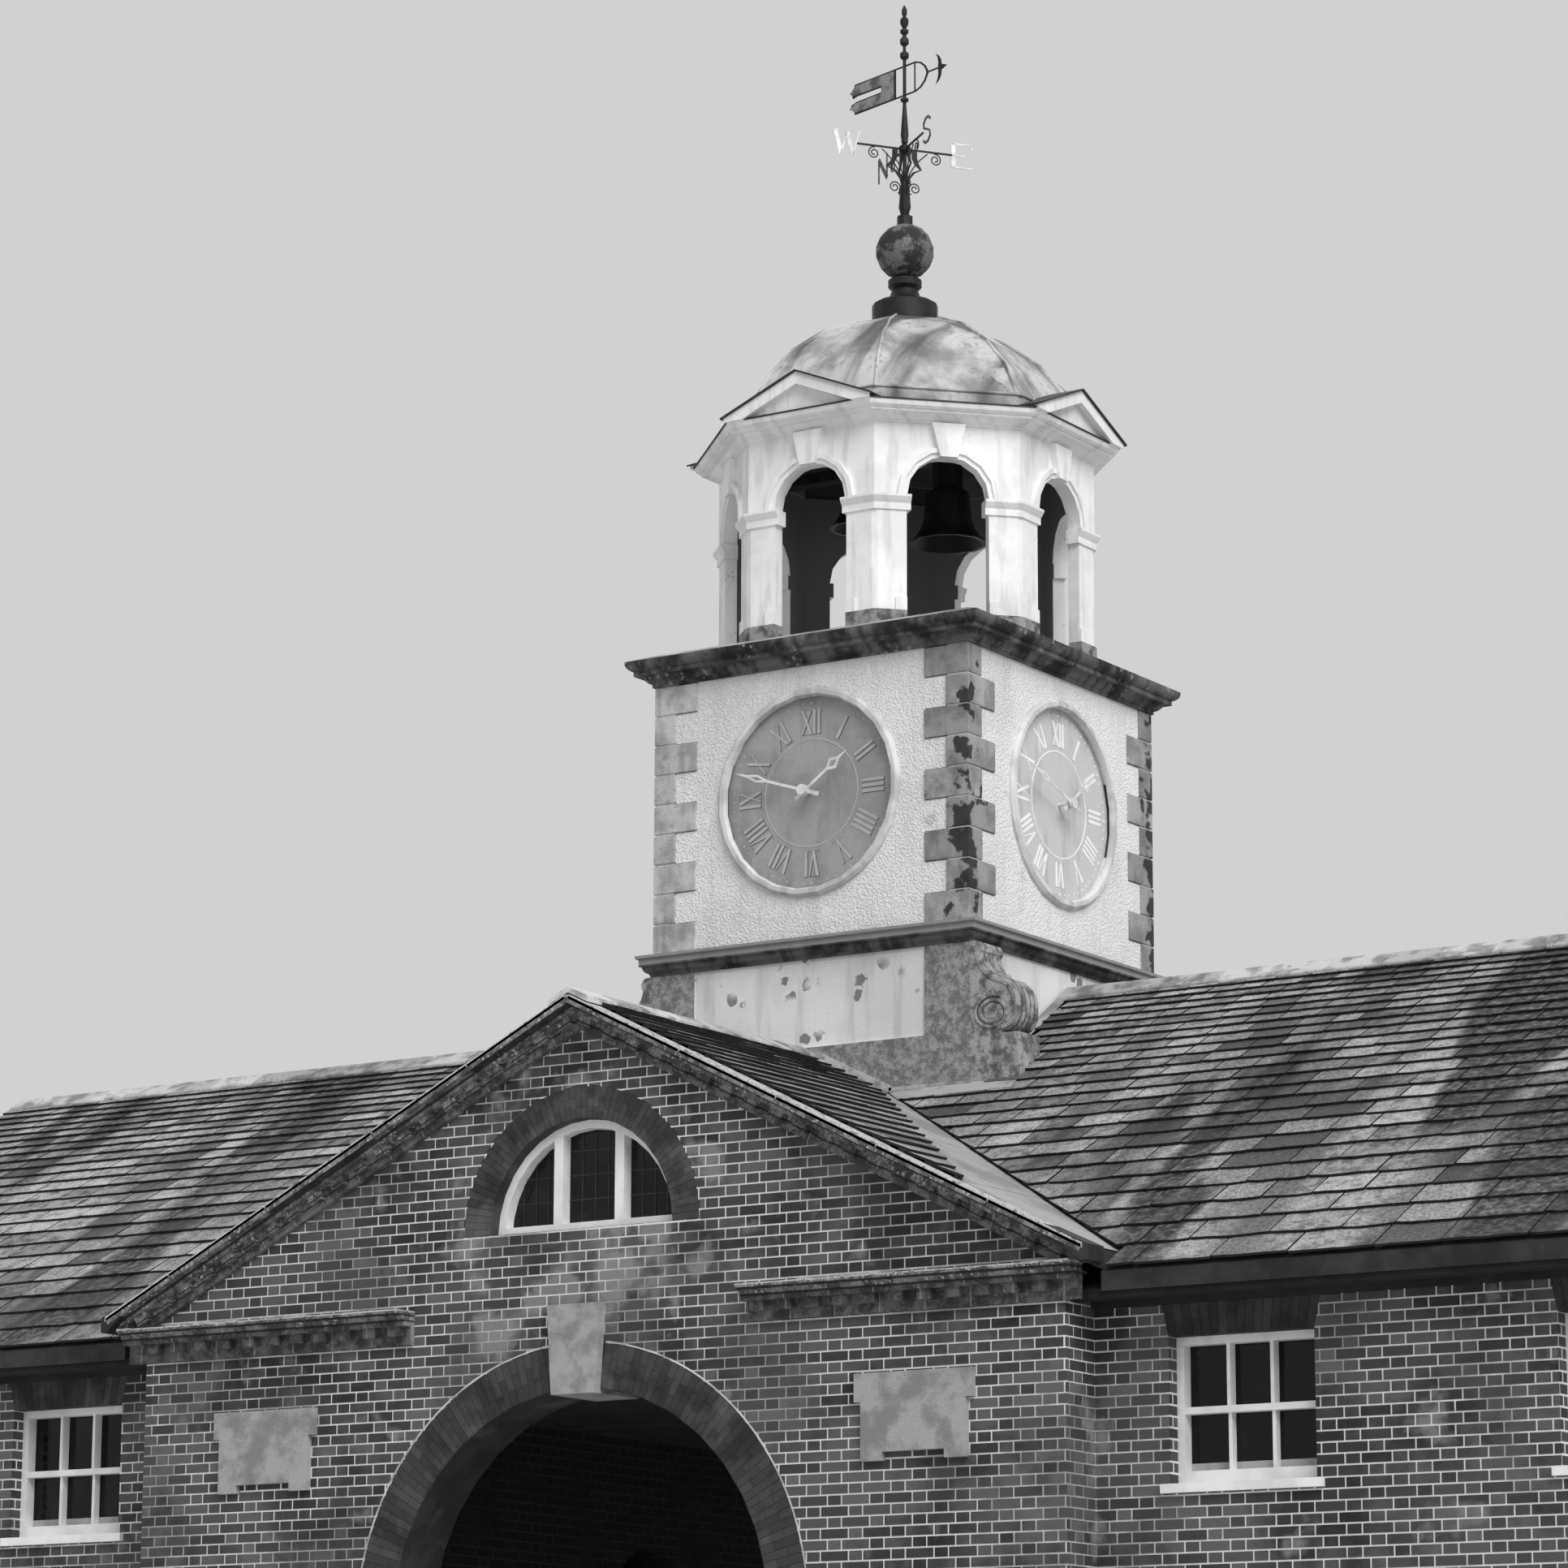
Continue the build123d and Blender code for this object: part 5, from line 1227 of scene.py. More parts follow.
@dataclass
class Roofs(Part):
    """Slates in diminishing courses, and ridge caps."""

    eaves: Point = (4.39, 5.59)
    wing_end: float = 9.25
    main_left: float = 0.6
    gable_low: float = 5.74
    first_course: float = 0.31
    last_course: float = 0.115
    lap: float = 1.35
    first_width: float = 0.50
    last_width: float = 0.22
    widths: Point = (0.72, 1.3)
    side_gap: Point = (0.004, 0.009)
    ragged: Point = (0.005, 0.016)
    thick: float = 0.018
    bed: float = 0.006
    raised: float = 1.4
    uneven: float = 0.006
    least_area: float = 0.0012
    valley_clear: float = 0.02
    foot_clear: float = 0.045
    gable_cut: tuple[Point, Point] = ((3.15, 4.43), (0.85, 1.75))
    apron: float = 0.17
    apron_lap: float = 0.02
    wall_clear: float = 0.09
    cap_length: float = 0.46
    cap_gap: float = 0.006
    cap_wing: float = 0.17
    cap_lift: float = 0.062
    cap_edge: float = 0.045
    cap_uneven: float = 0.005
    cap_slopes: Point = (0.633, 0.493)
    cap_ends: tuple[Point, Point] = ((9.2, 9.25), (4.58, 4.63))

    def build(self, palette: Palette) -> None:
        """Slates every slope and caps the ridges."""
        chance = random.Random(27)
        for sign, end in ((1, "front"), (-1, "rear")):
            for hand in reversed(HANDS):
                for slope, name in ((self.main_slope(), "main"), (self.gable_slope(), "gable")):
                    draft = Draft(f"{name}_slates_{end}_{flank(hand)}", chance)
                    draft.mirror = (hand, sign)
                    self.slate(draft, slope)
                    draft.make(palette, "slate")
        self.capping(palette, chance)

    def main_slope(self) -> Slope:
        """The range's slope in the front right quarter."""
        run, rise = self.eaves[0], PLAN.ridge - self.eaves[1]
        length = math.hypot(run, rise)
        foot, head = self.valley_ends()
        valley = tuple((x + self.valley_clear, (run - y) / run * length) for x, y in (head, foot))
        wall = (run - PLAN.tower_half - self.apron + self.apron_lap) / run * length
        up, out = Vector((0, run / length, rise / length)), Vector((0, -rise / length, run / length))
        return Slope(Vector((0, -run, self.eaves[1])), Vector((1, 0, 0)), up, out, length,
                     self.main_left, self.wing_end, valley, True, wall,
                     PLAN.tower_half + self.wall_clear, foot[0] + self.foot_clear)

    def gable_slope(self) -> Slope:
        """The pavilion's slope in the front right quarter."""
        run, rise = PLAN.gable_foot, PLAN.apex - self.gable_low
        length = math.hypot(run, rise)
        ends = tuple((PLAN.front - y, (run - x) / run * length) for x, y in self.gable_cut)
        up, out = Vector((-run / length, 0, rise / length)), Vector((rise / length, 0, run / length))
        return Slope(Vector((run, -PLAN.front, self.gable_low)), Vector((0, 1, 0)), up, out, length,
                     0.0, PLAN.front - PLAN.tower_half - self.apron, ends)

    def valley_ends(self) -> tuple[Point, Point]:
        """Where the two roofs meet, at the eaves and at the tower, as (x, distance from the ridge line)."""
        main = (PLAN.ridge - self.eaves[1]) / self.eaves[0]
        gable = (PLAN.apex - self.gable_low) / PLAN.gable_foot
        drop = PLAN.ridge - PLAN.apex
        return ((PLAN.gable_foot, (drop + gable * PLAN.gable_foot) / main),
                ((PLAN.tower_half * main - drop) / gable, PLAN.tower_half))

    def slate(self, draft: Draft, slope: Slope) -> None:
        """Covers one slope, from the eaves up.

        Args:
            draft: The piece that the slates go in.
            slope: Where they go.
        """
        ratio = self.last_course / self.first_course
        count = round(slope.length / (self.first_course * (1 - ratio) / -math.log(ratio)))
        sizes = [self.first_course * ratio ** (index / (count - 1)) for index in range(count)]
        scale = slope.length / sum(sizes)
        tail = 0.0
        for index, size in enumerate(sizes):
            share = index / (count - 1)
            width = self.first_width + (self.last_width - self.first_width) * share
            head = min(tail + size * scale * self.lap, slope.length)
            edge = slope.left - draft.chance.uniform(0, width)
            while edge < slope.right:
                wide = width * draft.chance.uniform(*self.widths)
                self.one(draft, slope, (edge, edge + wide), (tail, head), share)
                edge += wide
            tail += size * scale

    def one(self, draft: Draft, slope: Slope, across: Point, along: Point, share: float) -> None:
        """Lays one slate with a ragged tail.

        Args:
            draft: The piece that it goes in.
            slope: Where it goes.
            across: Its ends along the eaves.
            along: Its tail and head up the slope.
            share: How far up the slope its course is, from 0 to 1.
        """
        gap, (low, high) = draft.chance.uniform(*self.side_gap), along
        left, right = across[0] + gap, across[1] - gap
        rough = self.ragged[1] * (1 - share) + self.ragged[0]
        shape = [(left, low + draft.chance.uniform(0, rough))]
        for step in (0.25, 0.5, 0.75):
            shape.append((left + (right - left) * step, low + draft.chance.uniform(-rough, rough) * 0.5))
        shape += [(right, low + draft.chance.uniform(0, rough)), (right, high), (left, high)]
        lines = [((slope.right, 0.0), (slope.right, 1.0)), ((0.0, 0.0), (1.0, 0.0))]
        if not slope.beside_wall:
            lines += [((slope.left, 1.0), (slope.left, 0.0)), slope.cut]
        else:
            lines.append(slope.cut if share > 0 else ((slope.foot_edge, 1.0), (slope.foot_edge, 0.0)))
            if (left + right) / 2 < slope.wall_edge:
                lines.append(((1.0, slope.wall_low), (0.0, slope.wall_low)))
            elif (low + high) / 2 > slope.wall_low:
                lines.append(((slope.wall_edge, 1.0), (slope.wall_edge, 0.0)))
        shape = cut(shape, *lines)
        if len(shape) < 3 or area(shape) < self.least_area:
            return
        lift = self.thick * self.raised + draft.chance.uniform(0.0, self.uneven)
        ring = []
        for s, t in shape:
            height = self.bed + self.thick + (1 - (t - low) / max(high - low, 0.01)) * lift
            ring.append(slope.corner + slope.along * s + slope.up * t + slope.out * height)
        draft.prism(ring, -slope.out * self.thick, draft.chance.random())

    def capping(self, palette: Palette, chance: random.Random) -> None:
        """Angled caps along both ridges, those of the range cut to uneven lengths."""
        draft = Draft("ridge_caps", chance)
        ridges = ((Vector((1, 0, 0)), PLAN.ridge, (0.96, 1.04)), (FORWARD, PLAN.apex, None))
        for (ahead, height, uneven), slope, (last, end) in zip(ridges, self.cap_slopes, self.cap_ends):
            for hand in HANDS:
                draft.mirror = (hand, 1) if uneven else (1, hand)
                at = PLAN.tower_half
                while at < last:
                    stop = min(at + self.cap_length * (chance.uniform(*uneven) if uneven else 1.0), end)
                    start = ahead * at + UP * height
                    self.cap(draft, start, ahead * (stop - at - self.cap_gap), slope)
                    at = stop
        draft.make(palette, "ridge_stone", bevel=0.004)

    def cap(self, draft: Draft, start: Vector, run: Vector, slope: float) -> None:
        """One cap: a bent slab over the two slopes."""
        side = Vector((0, 1, 0)) if abs(run.x) > 0 else Vector((1, 0, 0))
        crown = start + UP * (self.cap_lift + draft.chance.uniform(0, self.cap_uneven))
        wing, drop, foot = side * self.cap_wing, UP * (slope * self.cap_wing), UP * self.cap_edge
        ring = [crown - wing - drop, crown - wing - drop - foot, crown - foot,
                crown + wing - drop - foot, crown + wing - drop, crown]
        normal = (ring[2] - ring[0]).cross(ring[4] - ring[2])
        draft.prism(ring[::-1] if normal.dot(run) > 0 else ring, run, draft.chance.random())


@dataclass
class Leadwork(Part):
    """Valleys and aprons on the roofs, the lead edges of the cupola and the rolls of the dome."""

    foot: Point = (4.2, 4.153)
    head: Point = (0.7435, 1.463)
    laps: tuple[float, ...] = (0.0, 0.37, 0.684, 1.0)
    lap: float = 0.012
    sheet: float = 0.005
    valley_lift: Point = (0.018, 0.003)
    valley_edge: Triple = (0.85, 1.8, 1.165)
    apron_front: Point = (0.2, 0.02)
    apron_lift: Point = (0.02, 0.006)
    apron_pieces: int = 3
    corner_sheet: Quad = (0.42, 0.13, 0.17, 0.15)
    corner_lift: float = 0.045
    apron_side: Point = (0.1, 0.015)
    side_lift: Point = (0.046, 0.002)
    side_pieces: int = 6
    fillet: Triple = (0.075, 0.012, 0.014)
    cornice_top: float = 12.925
    cornice_edge: float = 1.61
    edge_over: float = 0.012
    edge_in: float = 0.17
    edge_top: float = 0.011
    edge_thick: float = 0.01
    pediment_front: float = 1.645
    pediment_half: float = 0.681
    pediment_apex: float = 13.235
    pediment_slope: float = 0.41333
    pediment_over: float = 0.02
    pediment_depth: float = 0.3
    pediment_thick: float = 0.014
    dome_foot: Point = (1.4, 13.083)
    dome_head: Point = (0.43, 14.0)
    dome_bulge: float = -0.15
    hip_growth: float = 0.105
    hip_roll: float = 0.016
    kerb: float = 1.43
    kerb_roll: float = 0.013

    def build(self, palette: Palette) -> None:
        """Lays all the lead."""
        valley, apron, mortar = Draft("valley_lead"), Draft("tower_aprons"), Draft("mortar_fillets")
        for _ in quarters(valley, apron, mortar):
            self.valley(valley)
            self.apron(apron, mortar)
        valley.make(palette, "valley_lead")
        apron.make(palette, "flat_lead", bevel=0.003)
        mortar.make(palette, "mortar")
        edges, hips = Draft("cupola_lead_edges"), Draft("dome_rolls")
        self.edges(edges)
        self.hips(hips)
        edges.make(palette, "lead_edge")
        hips.make(palette, "dome_lead", smooth=True)

    def on_main(self, x: float, y: float, lift: float) -> Vector:
        """A point over the range's slope, from its distances right of the axis and out from the ridge."""
        out = Vector((0, -PLAN.main_slope, 1)).normalized()
        return Vector((x, -y, PLAN.ridge - PLAN.main_slope * y)) + out * lift

    def on_gable(self, x: float, y: float, lift: float) -> Vector:
        """A point over the pavilion's slope."""
        out = Vector((PLAN.gable_slope, 0, 1)).normalized()
        return Vector((x, -y, PLAN.apex - PLAN.gable_slope * x)) + out * lift

    def lay(self, draft: Draft, place: Callable[[float, float, float], Vector], plan: Sequence[Point],
            lift: float) -> None:
        """A lead sheet on a slope, from its plan seen from above, clockwise."""
        top = [place(x, y, lift) for x, y in plan]
        draft.prism(top, place(*plan[0], lift - self.sheet) - top[0])

    def valley(self, draft: Draft) -> None:
        """The wide lead of one valley, in lapped lengths dressed over the pavilion's side."""
        (x0, y0), (x1, y1), (start, reach, growth) = self.head, self.foot, self.valley_edge
        lift, step = self.valley_lift
        for index, (low, high) in enumerate(zip(self.laps, self.laps[1:])):
            shares = low, min(high + self.lap, 1.0)
            a, b = ((x0 + (x1 - x0) * share, y0 + (y1 - y0) * share) for share in shares)
            far_a, far_b = ((x, min(reach + growth * (x - start), PLAN.front)) for x in (a[0], b[0]))
            self.lay(draft, self.on_gable, [far_b, far_a, a, b], lift - step * index)

    def apron(self, lead: Draft, mortar: Draft) -> None:
        """The lapped lead round one corner of the tower's foot, with a fillet over it."""
        (x0, _), tower, pieces, steps = self.head, PLAN.tower_half, self.apron_pieces, self.side_pieces
        (deep, lap), (lift, step) = self.apron_front, self.apron_lift
        for index in range(pieces):
            a, b = x0 * index / pieces, min(x0 * (index + 1) / pieces + lap, x0)
            plan = [(a, tower + deep), (b, tower + deep), (b, tower), (a, tower)]
            self.lay(lead, self.on_gable, plan, lift + step * (pieces - index))
        long, far, inset, near = self.corner_sheet
        plan = [(x0 + inset, tower + near), (tower + long, tower + far), (tower + long, tower), (x0, tower)]
        self.lay(lead, self.on_main, plan, self.corner_lift)
        (wide, lap), (lift, step) = self.apron_side, self.side_lift
        for index in range(steps):
            a, b = tower * index / steps, tower * (index + 1) / steps + lap
            plan = [(tower, a), (tower, b), (tower + wide, b), (tower + wide, a)]
            self.lay(lead, self.on_main, plan, lift - step * index)
        tall, out, thick = self.fillet
        for place, start, stop in ((self.on_gable, 0.0, x0), (self.on_main, x0, tower)):
            ring = [place(x, tower, z) for x, z in ((start, 0.0), (stop, 0.0), (stop, tall), (start, tall))]
            face = upright([(corner.x, corner.z) for corner in ring], -tower - out)
            mortar.prism(face, Vector((0, thick, 0)))

    def edges(self, draft: Draft) -> None:
        """The dark edges of the lead over the cupola's cornice and pediments."""
        reach, z = math.tan(math.pi / 8), self.cornice_top + self.edge_top
        out, inner = self.cornice_edge + self.edge_over, self.cornice_edge - self.edge_in
        plan = ((-out, out), (out, out), (inner, inner), (-inner, inner))
        apex, thick = self.pediment_apex + self.pediment_thick, self.pediment_thick
        y0, y1 = -self.pediment_front - self.pediment_over, -self.pediment_front + self.pediment_depth
        for index in range(8):
            turn = Matrix.Rotation(math.radians(45 * index), 3, "Z")
            ring = [Vector((x * reach, -y, z)) for x, y in plan]
            draft.prism([turn @ corner for corner in ring], UP * -self.edge_thick)
            for hand in HANDS if index % 2 == 0 else ():
                x = hand * (self.pediment_half + self.pediment_over)
                foot = apex - self.pediment_slope * abs(x)
                ring = [Vector((0, y0, apex)), Vector((x, y0, foot)),
                        Vector((x, y1, foot)), Vector((0, y1, apex))]
                draft.prism([turn @ corner for corner in ring[::hand]], UP * -thick)

    def hips(self, draft: Draft) -> None:
        """The rolls up the dome's eight hips and along the top of its kerb."""
        eighth, half = math.cos(math.pi / 8), self.kerb * math.tan(math.pi / 8)
        profile = [(min(reach / eighth, reach + self.hip_growth), z)
                   for reach, z in arc(self.dome_foot, self.dome_head, self.dome_bulge, 4)]
        for index in range(8):
            angle = math.radians(22.5 + 45 * index)
            out, aside = compass(angle)
            draft.strip([out * reach + UP * z for reach, z in profile], aside, round_bar(self.hip_roll, 8))
            out, aside = compass(angle + math.pi / 8)
            ends = [out * self.kerb + aside * (half * side) + UP * self.dome_foot[1] for side in HANDS]
            draft.strip(ends, UP, round_bar(self.kerb_roll, 8))


@dataclass
class Cornices(Part):
    """Mortar and stone laid along the pavilion's cornices, and the bright lines round its arches."""

    reach: float = 0.21
    return_top: float = 5.65
    return_ends: Point = (1.45, 4.08)
    fillet_lengths: Point = (0.25, 0.6)
    fillet_heights: Point = (0.004, 0.012)
    fillet_back: float = 0.012
    fillet_sunk: float = 0.002
    stone_lengths: Point = (0.9, 1.15)
    stone_band: Point = (-0.05, 0.012)
    stone_depth: float = 0.19
    stone_gap: float = 0.008
    stone_uneven: Triple = (-0.003, 0.003, 0.004)
    stone_ends: Point = (0.02, 0.05)
    end_depth: Point = (0.002, 0.02)
    end_outline: tuple[Point, ...] = ((-0.02, -0.1), (0.035, -0.1), (0.035, 0.012), (-0.3, 0.165), (-0.3, 0.15))
    arch_edge: float = 1.927
    key_angle: float = 83.0
    arch_steps: int = 40
    arch_line: Triple = (0.013, 0.0035, 0.002)

    def build(self, palette: Palette) -> None:
        """Lays the bands and the lines."""
        chance = random.Random(11)
        mortar, stones = Draft("cornice_mortar", chance), Draft("rake_top_stones", chance)
        lead, lines = Draft("rake_end_caps"), Draft("arch_lines")
        turns = [math.radians(self.key_angle * step / self.arch_steps) for step in range(self.arch_steps + 1)]
        edge = [(self.arch_edge * math.cos(turn), PLAN.arch_spring + self.arch_edge * math.sin(turn))
                for turn in turns]
        for _ in quarters(mortar, lead, lines, stones):
            self.weathering(mortar)
            self.rake_top(stones)
            self.end_cap(lead)
            lines.strip(upright(edge, -PLAN.front), FORWARD, flat_bar(*self.arch_line))
        mortar.make(palette, "mortar")
        stones.make(palette, "raking_cornice", bevel=0.003)
        lead.make(palette, "lead_edge", bevel=0.004)
        lines.make(palette, "jointing")

    def weathering(self, draft: Draft) -> None:
        """The white fillet that throws rain off one level cornice."""
        x, stop = self.return_ends
        while x < stop:
            after = min(x + draft.chance.uniform(*self.fillet_lengths), stop)
            z = self.return_top + draft.chance.uniform(*self.fillet_heights)
            y = -PLAN.front - self.reach + draft.chance.uniform(0.0, self.fillet_back)
            draft.block((x, y, self.return_top - self.fillet_sunk), (after, -PLAN.front, z))
            x = after

    def rake_top(self, draft: Draft) -> None:
        """The slightly uneven stones along the top edge of one raking cornice."""
        lean = math.atan(PLAN.gable_slope)
        ahead, up = Vector((math.cos(lean), 0, -math.sin(lean))), Vector((math.sin(lean), 0, math.cos(lean)))
        length = PLAN.gable_foot / math.cos(lean)
        apex = Vector((0, -PLAN.front - self.reach, PLAN.apex))
        (at, stop_short), (least, low_most, high_most) = self.stone_ends, self.stone_uneven
        while at < length - stop_short:
            after = min(at + draft.chance.uniform(*self.stone_lengths), length)
            low = up * (self.stone_band[0] + draft.chance.uniform(least, low_most))
            high = up * (self.stone_band[1] + draft.chance.uniform(least, high_most))
            start, stop = apex + ahead * at, apex + ahead * (after - self.stone_gap)
            draft.prism([start + low, stop + low, stop + high, start + high], Vector((0, self.stone_depth, 0)),
                        draft.chance.random())
            at = after

    def end_cap(self, draft: Draft) -> None:
        """The lead dressed over the foot of one raking cornice."""
        y0, y1 = -PLAN.front - self.reach + self.end_depth[0], -PLAN.front + self.end_depth[1]
        foot, top = PLAN.gable_foot, PLAN.apex - PLAN.gable_slope * PLAN.gable_foot
        draft.prism(upright([(foot + x, top + z) for x, z in self.end_outline], y0), Vector((0, y1 - y0, 0)))


@dataclass
class Carving(Part):
    """The borders, volutes and ribs cut in the scroll consoles, with painted shadow lines in the volutes and
    between the ribs.
    """

    width: float = 0.32
    roll: float = 8.51
    bends: tuple[tuple[Point, Point, float, int], ...] = (((0.078, 0.025), (0.232, 0.234), -0.038, 6),
                                                          ((0.232, 0.234), (0.405, 0.48), 0.062, 6),
                                                          ((0.405, 0.48), (0.276, 0.639), 0.048, 5))
    rim: tuple[Point, ...] = ((0.0, -0.002), (0.0, 0.009), (-0.034, 0.009), (-0.034, -0.002))
    volute: Point = (1.64, 8.01)
    volute_size: Point = (0.16, 0.135)
    groove_inset: float = 0.019
    wind: tuple[float, float, float, int] = (60, 1.9, 0.42, 60)
    groove_wind: tuple[float, float, float, int] = (60, 1.9, 0.4, 60)
    ribbon: Triple = (0.022, 0.009, 0.002)
    # The dark painted shadow line inside each volute: width, depth and sink.
    groove: Triple = (0.008, 0.003, 0.002)
    ribs: int = 5
    rib: tuple[Point, ...] = ((0.012, -0.015), (0.012, 0.015), (-0.01, 0.022), (-0.01, -0.022))
    shadow: tuple[Point, ...] = ((0.003, -0.006), (0.003, 0.006), (-0.01, 0.006), (-0.01, -0.006))

    def build(self, palette: Palette) -> None:
        """Carves the four consoles."""
        stone, dark = Draft("console_carving"), Draft("console_shadow_lines")
        for _ in quarters(stone, dark):
            self.one(stone, dark)
        stone.make(palette, "dressed_stone", bevel=0.003)
        dark.make(palette, "carved_edge")

    def curve(self) -> list[Point]:
        """The console's outer line, as (x, z), from under the roll to the foot of the scroll."""
        line: list[Point] = []
        for start, end, sag, steps in self.bends:
            ends = [(PLAN.stage_half + out, self.roll - down) for out, down in (start, end)]
            line += arc(*ends, sag, steps)[bool(line):]
        return line

    def one(self, stone: Draft, dark: Draft) -> None:
        """Carves one console."""
        face, curve, (wide, high) = -PLAN.stage_half, self.curve(), self.volute_size
        stone.strip(upright(curve, face), FORWARD, self.rim)
        wind = spiral(self.volute, self.volute_size, *self.wind)
        stone.strip(upright(wind, face), FORWARD, flat_bar(*self.ribbon))
        wind = spiral(self.volute, (wide - self.groove_inset, high - self.groove_inset), *self.groove_wind)
        # Painted shadow in the volute's winding, and between the ribs below.
        dark.strip(upright(wind, face), FORWARD, flat_bar(*self.groove))
        for index in range(self.ribs):
            y = face + self.width * (index + 0.5) / self.ribs
            stone.strip(upright(curve, y), FORWARD, self.rib)
            if index:
                dark.strip(upright(curve, y - self.width / self.ribs / 2), FORWARD, self.shadow)


class Wind(Enum):
    """The four quarters, with each arm's direction in degrees and whether its letter is gilded."""

    NORTH = (142.5, False)
    EAST = (52.5, True)
    SOUTH = (322.5, False)
    WEST = (232.5, True)

    def strokes(self) -> list[tuple[list[Point], float]]:
        """The letter's strokes on a square one unit high, each with its weight."""
        heavy, light = 0.18, 0.06
        if self is Wind.WEST:
            return [([(-0.5, 0.5), (-0.26, -0.5)], heavy), ([(-0.26, -0.5), (-0.02, 0.42)], light),
                    ([(-0.02, 0.42), (0.24, -0.5)], heavy), ([(0.24, -0.5), (0.5, 0.5)], light)]
        if self is Wind.EAST:
            return [([(-0.36, -0.5), (-0.36, 0.5)], heavy), ([(-0.44, 0.48), (0.44, 0.48)], light),
                    ([(-0.36, 0.0), (0.12, 0.0)], light), ([(-0.44, -0.48), (0.44, -0.48)], light),
                    ([(0.42, 0.3), (0.42, 0.5)], light)]
        if self is Wind.NORTH:
            return [([(-0.45, -0.5), (-0.45, 0.5)], light), ([(-0.45, 0.5), (0.45, -0.5)], heavy),
                    ([(0.45, -0.5), (0.45, 0.5)], light)]
        bend = [(0.36, 0.34), (0.18, 0.49), (-0.12, 0.5), (-0.34, 0.34), (-0.3, 0.14), (0.0, 0.02),
                (0.3, -0.12), (0.36, -0.32), (0.14, -0.49), (-0.16, -0.5), (-0.38, -0.34)]
        return [(bend, 0.09)]


@dataclass
class Ironwork(Part):
    """The letters and curls of the compass and the painted banner of the vane."""

    hub: float = 15.574
    reach: float = 0.505
    height: float = 0.21
    letter_depth: float = 0.005
    curl: Point = (0.052, 0.052)
    curl_starts: tuple[tuple[Point, float], ...] = (((0.27, -0.062), 100), ((0.088, -0.335), 215))
    curl_wind: tuple[float, float, int] = (-1.6, 0.25, 36)
    brace: tuple[Point, Point, float, int] = ((0.02, -0.26), (0.2, -0.02), 0.02, 8)
    tie: tuple[Point, Point] = ((0.018, -0.375), (0.06, -0.385))
    rod: float = 0.0055
    seat: float = 15.99
    vane_turn: float = -15.5
    plate: float = 0.004
    paint: Point = (0.0015, 0.0003)
    banner_shapes: tuple[tuple[Point, ...], ...] = (
        ((-0.272, 0.212), (-0.272, 0.147), (-0.125, 0.147), (-0.125, 0.212)),
        ((-0.62, 0.214), (-0.125, 0.212), (-0.125, 0.298), (-0.4, 0.302), (-0.6, 0.296), (-0.648, 0.25)),
        ((-0.6, 0.062), (-0.4, 0.058), (-0.125, 0.06), (-0.125, 0.147), (-0.6, 0.143), (-0.655, 0.107)))

    def build(self, palette: Palette) -> None:
        """Forges the ironwork."""
        gilt, plain, curls = Draft("gilded_letters"), Draft("plain_letters"), Draft("compass_curls")
        for wind in Wind:
            heading, gilded = wind.value
            arm = compass(math.radians(heading))[0]
            self.letter(gilt if gilded else plain, wind, arm)
            self.curls(curls, arm)
        gilt.make(palette, "letter_paint")
        plain.make(palette, "letter_back")
        curls.make(palette, "black_iron", smooth=True)
        banner = Draft("vane_banner_paint")
        self.banner(banner)
        banner.make(palette, "banner_paint", body="vane")

    def letter(self, draft: Draft, wind: Wind, arm: Vector) -> None:
        """One letter, in the plane of its arm, past the arm's end, to be read from the front."""
        across = arm * (1 if wind in (Wind.EAST, Wind.SOUTH) else -1)
        middle = arm * self.reach + UP * self.hub
        for points, weight in wind.strokes():
            path = [middle + across * (u * self.height) + UP * (w * self.height) for u, w in points]
            section = flat_bar(weight * self.height, self.letter_depth, self.letter_depth)
            draft.strip(path, across.cross(UP), section)

    def curls(self, draft: Draft, arm: Vector) -> None:
        """The curls under one arm and beside the mast."""
        lines = [spiral(middle, self.curl, start, *self.curl_wind) for middle, start in self.curl_starts]
        for line in (*lines, arc(*self.brace), self.tie):
            draft.strip([arm * s + UP * (self.hub + z) for s, z in line], arm.cross(UP), round_bar(self.rod))

    def banner(self, draft: Draft) -> None:
        """The painted cloth on both sides of the vane's plate."""
        turn = Matrix.Rotation(math.radians(self.vane_turn), 3, "Z")
        thick, step = self.paint
        for side in HANDS:
            origin = turn @ Vector((0, -side * self.plate, 0)) + UP * self.seat
            for index, shape in enumerate(self.banner_shapes):
                flat = [(u * side, w) for u, w in shape]
                draft.patch(flat, origin, turn @ Vector((side, 0, 0)), thick + step * index)


@dataclass
class Quoins(Part):
    """The dressed corner stones of the clock stage, each with rounded arrises."""

    low: float = 8.74
    high: float = 10.9
    courses: int = 9
    long: float = 0.4
    short: float = 0.205
    joint: float = 0.012
    core_in: float = 0.01
    worn: float = 0.003
    pale: float = 0.6

    def build(self, palette: Palette) -> None:
        """Sets the stones in the place of the plain stacks, the sooty ones on the right."""
        chance = random.Random(9)
        stones, core = Draft("quoin_stones"), Draft("quoin_joints")
        half, height = PLAN.stage_half, (self.high - self.low) / self.courses
        for hand in quarters(stones, core):
            for index in range(self.courses):
                along, across = (self.short, self.long) if index % 2 else (self.long, self.short)
                z = self.low + index * height
                worn = chance.uniform(0.0, self.worn)
                tone = chance.uniform(0.0, 0.4) + (self.pale if hand < 0 else 0.0)
                stones.block((half - along, -half + worn, z + self.joint / 2),
                             (half - worn, -half + across, z + height - self.joint / 2), tone)
            deep = self.short - self.core_in
            core.block((half - deep, -half + self.joint, self.low),
                       (half - self.joint, -half + deep, self.high))
        core.make(palette, "quoin_joint")
        made = stones.make(palette, "quoin_stone", bevel=0.006)
        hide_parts("quoins")


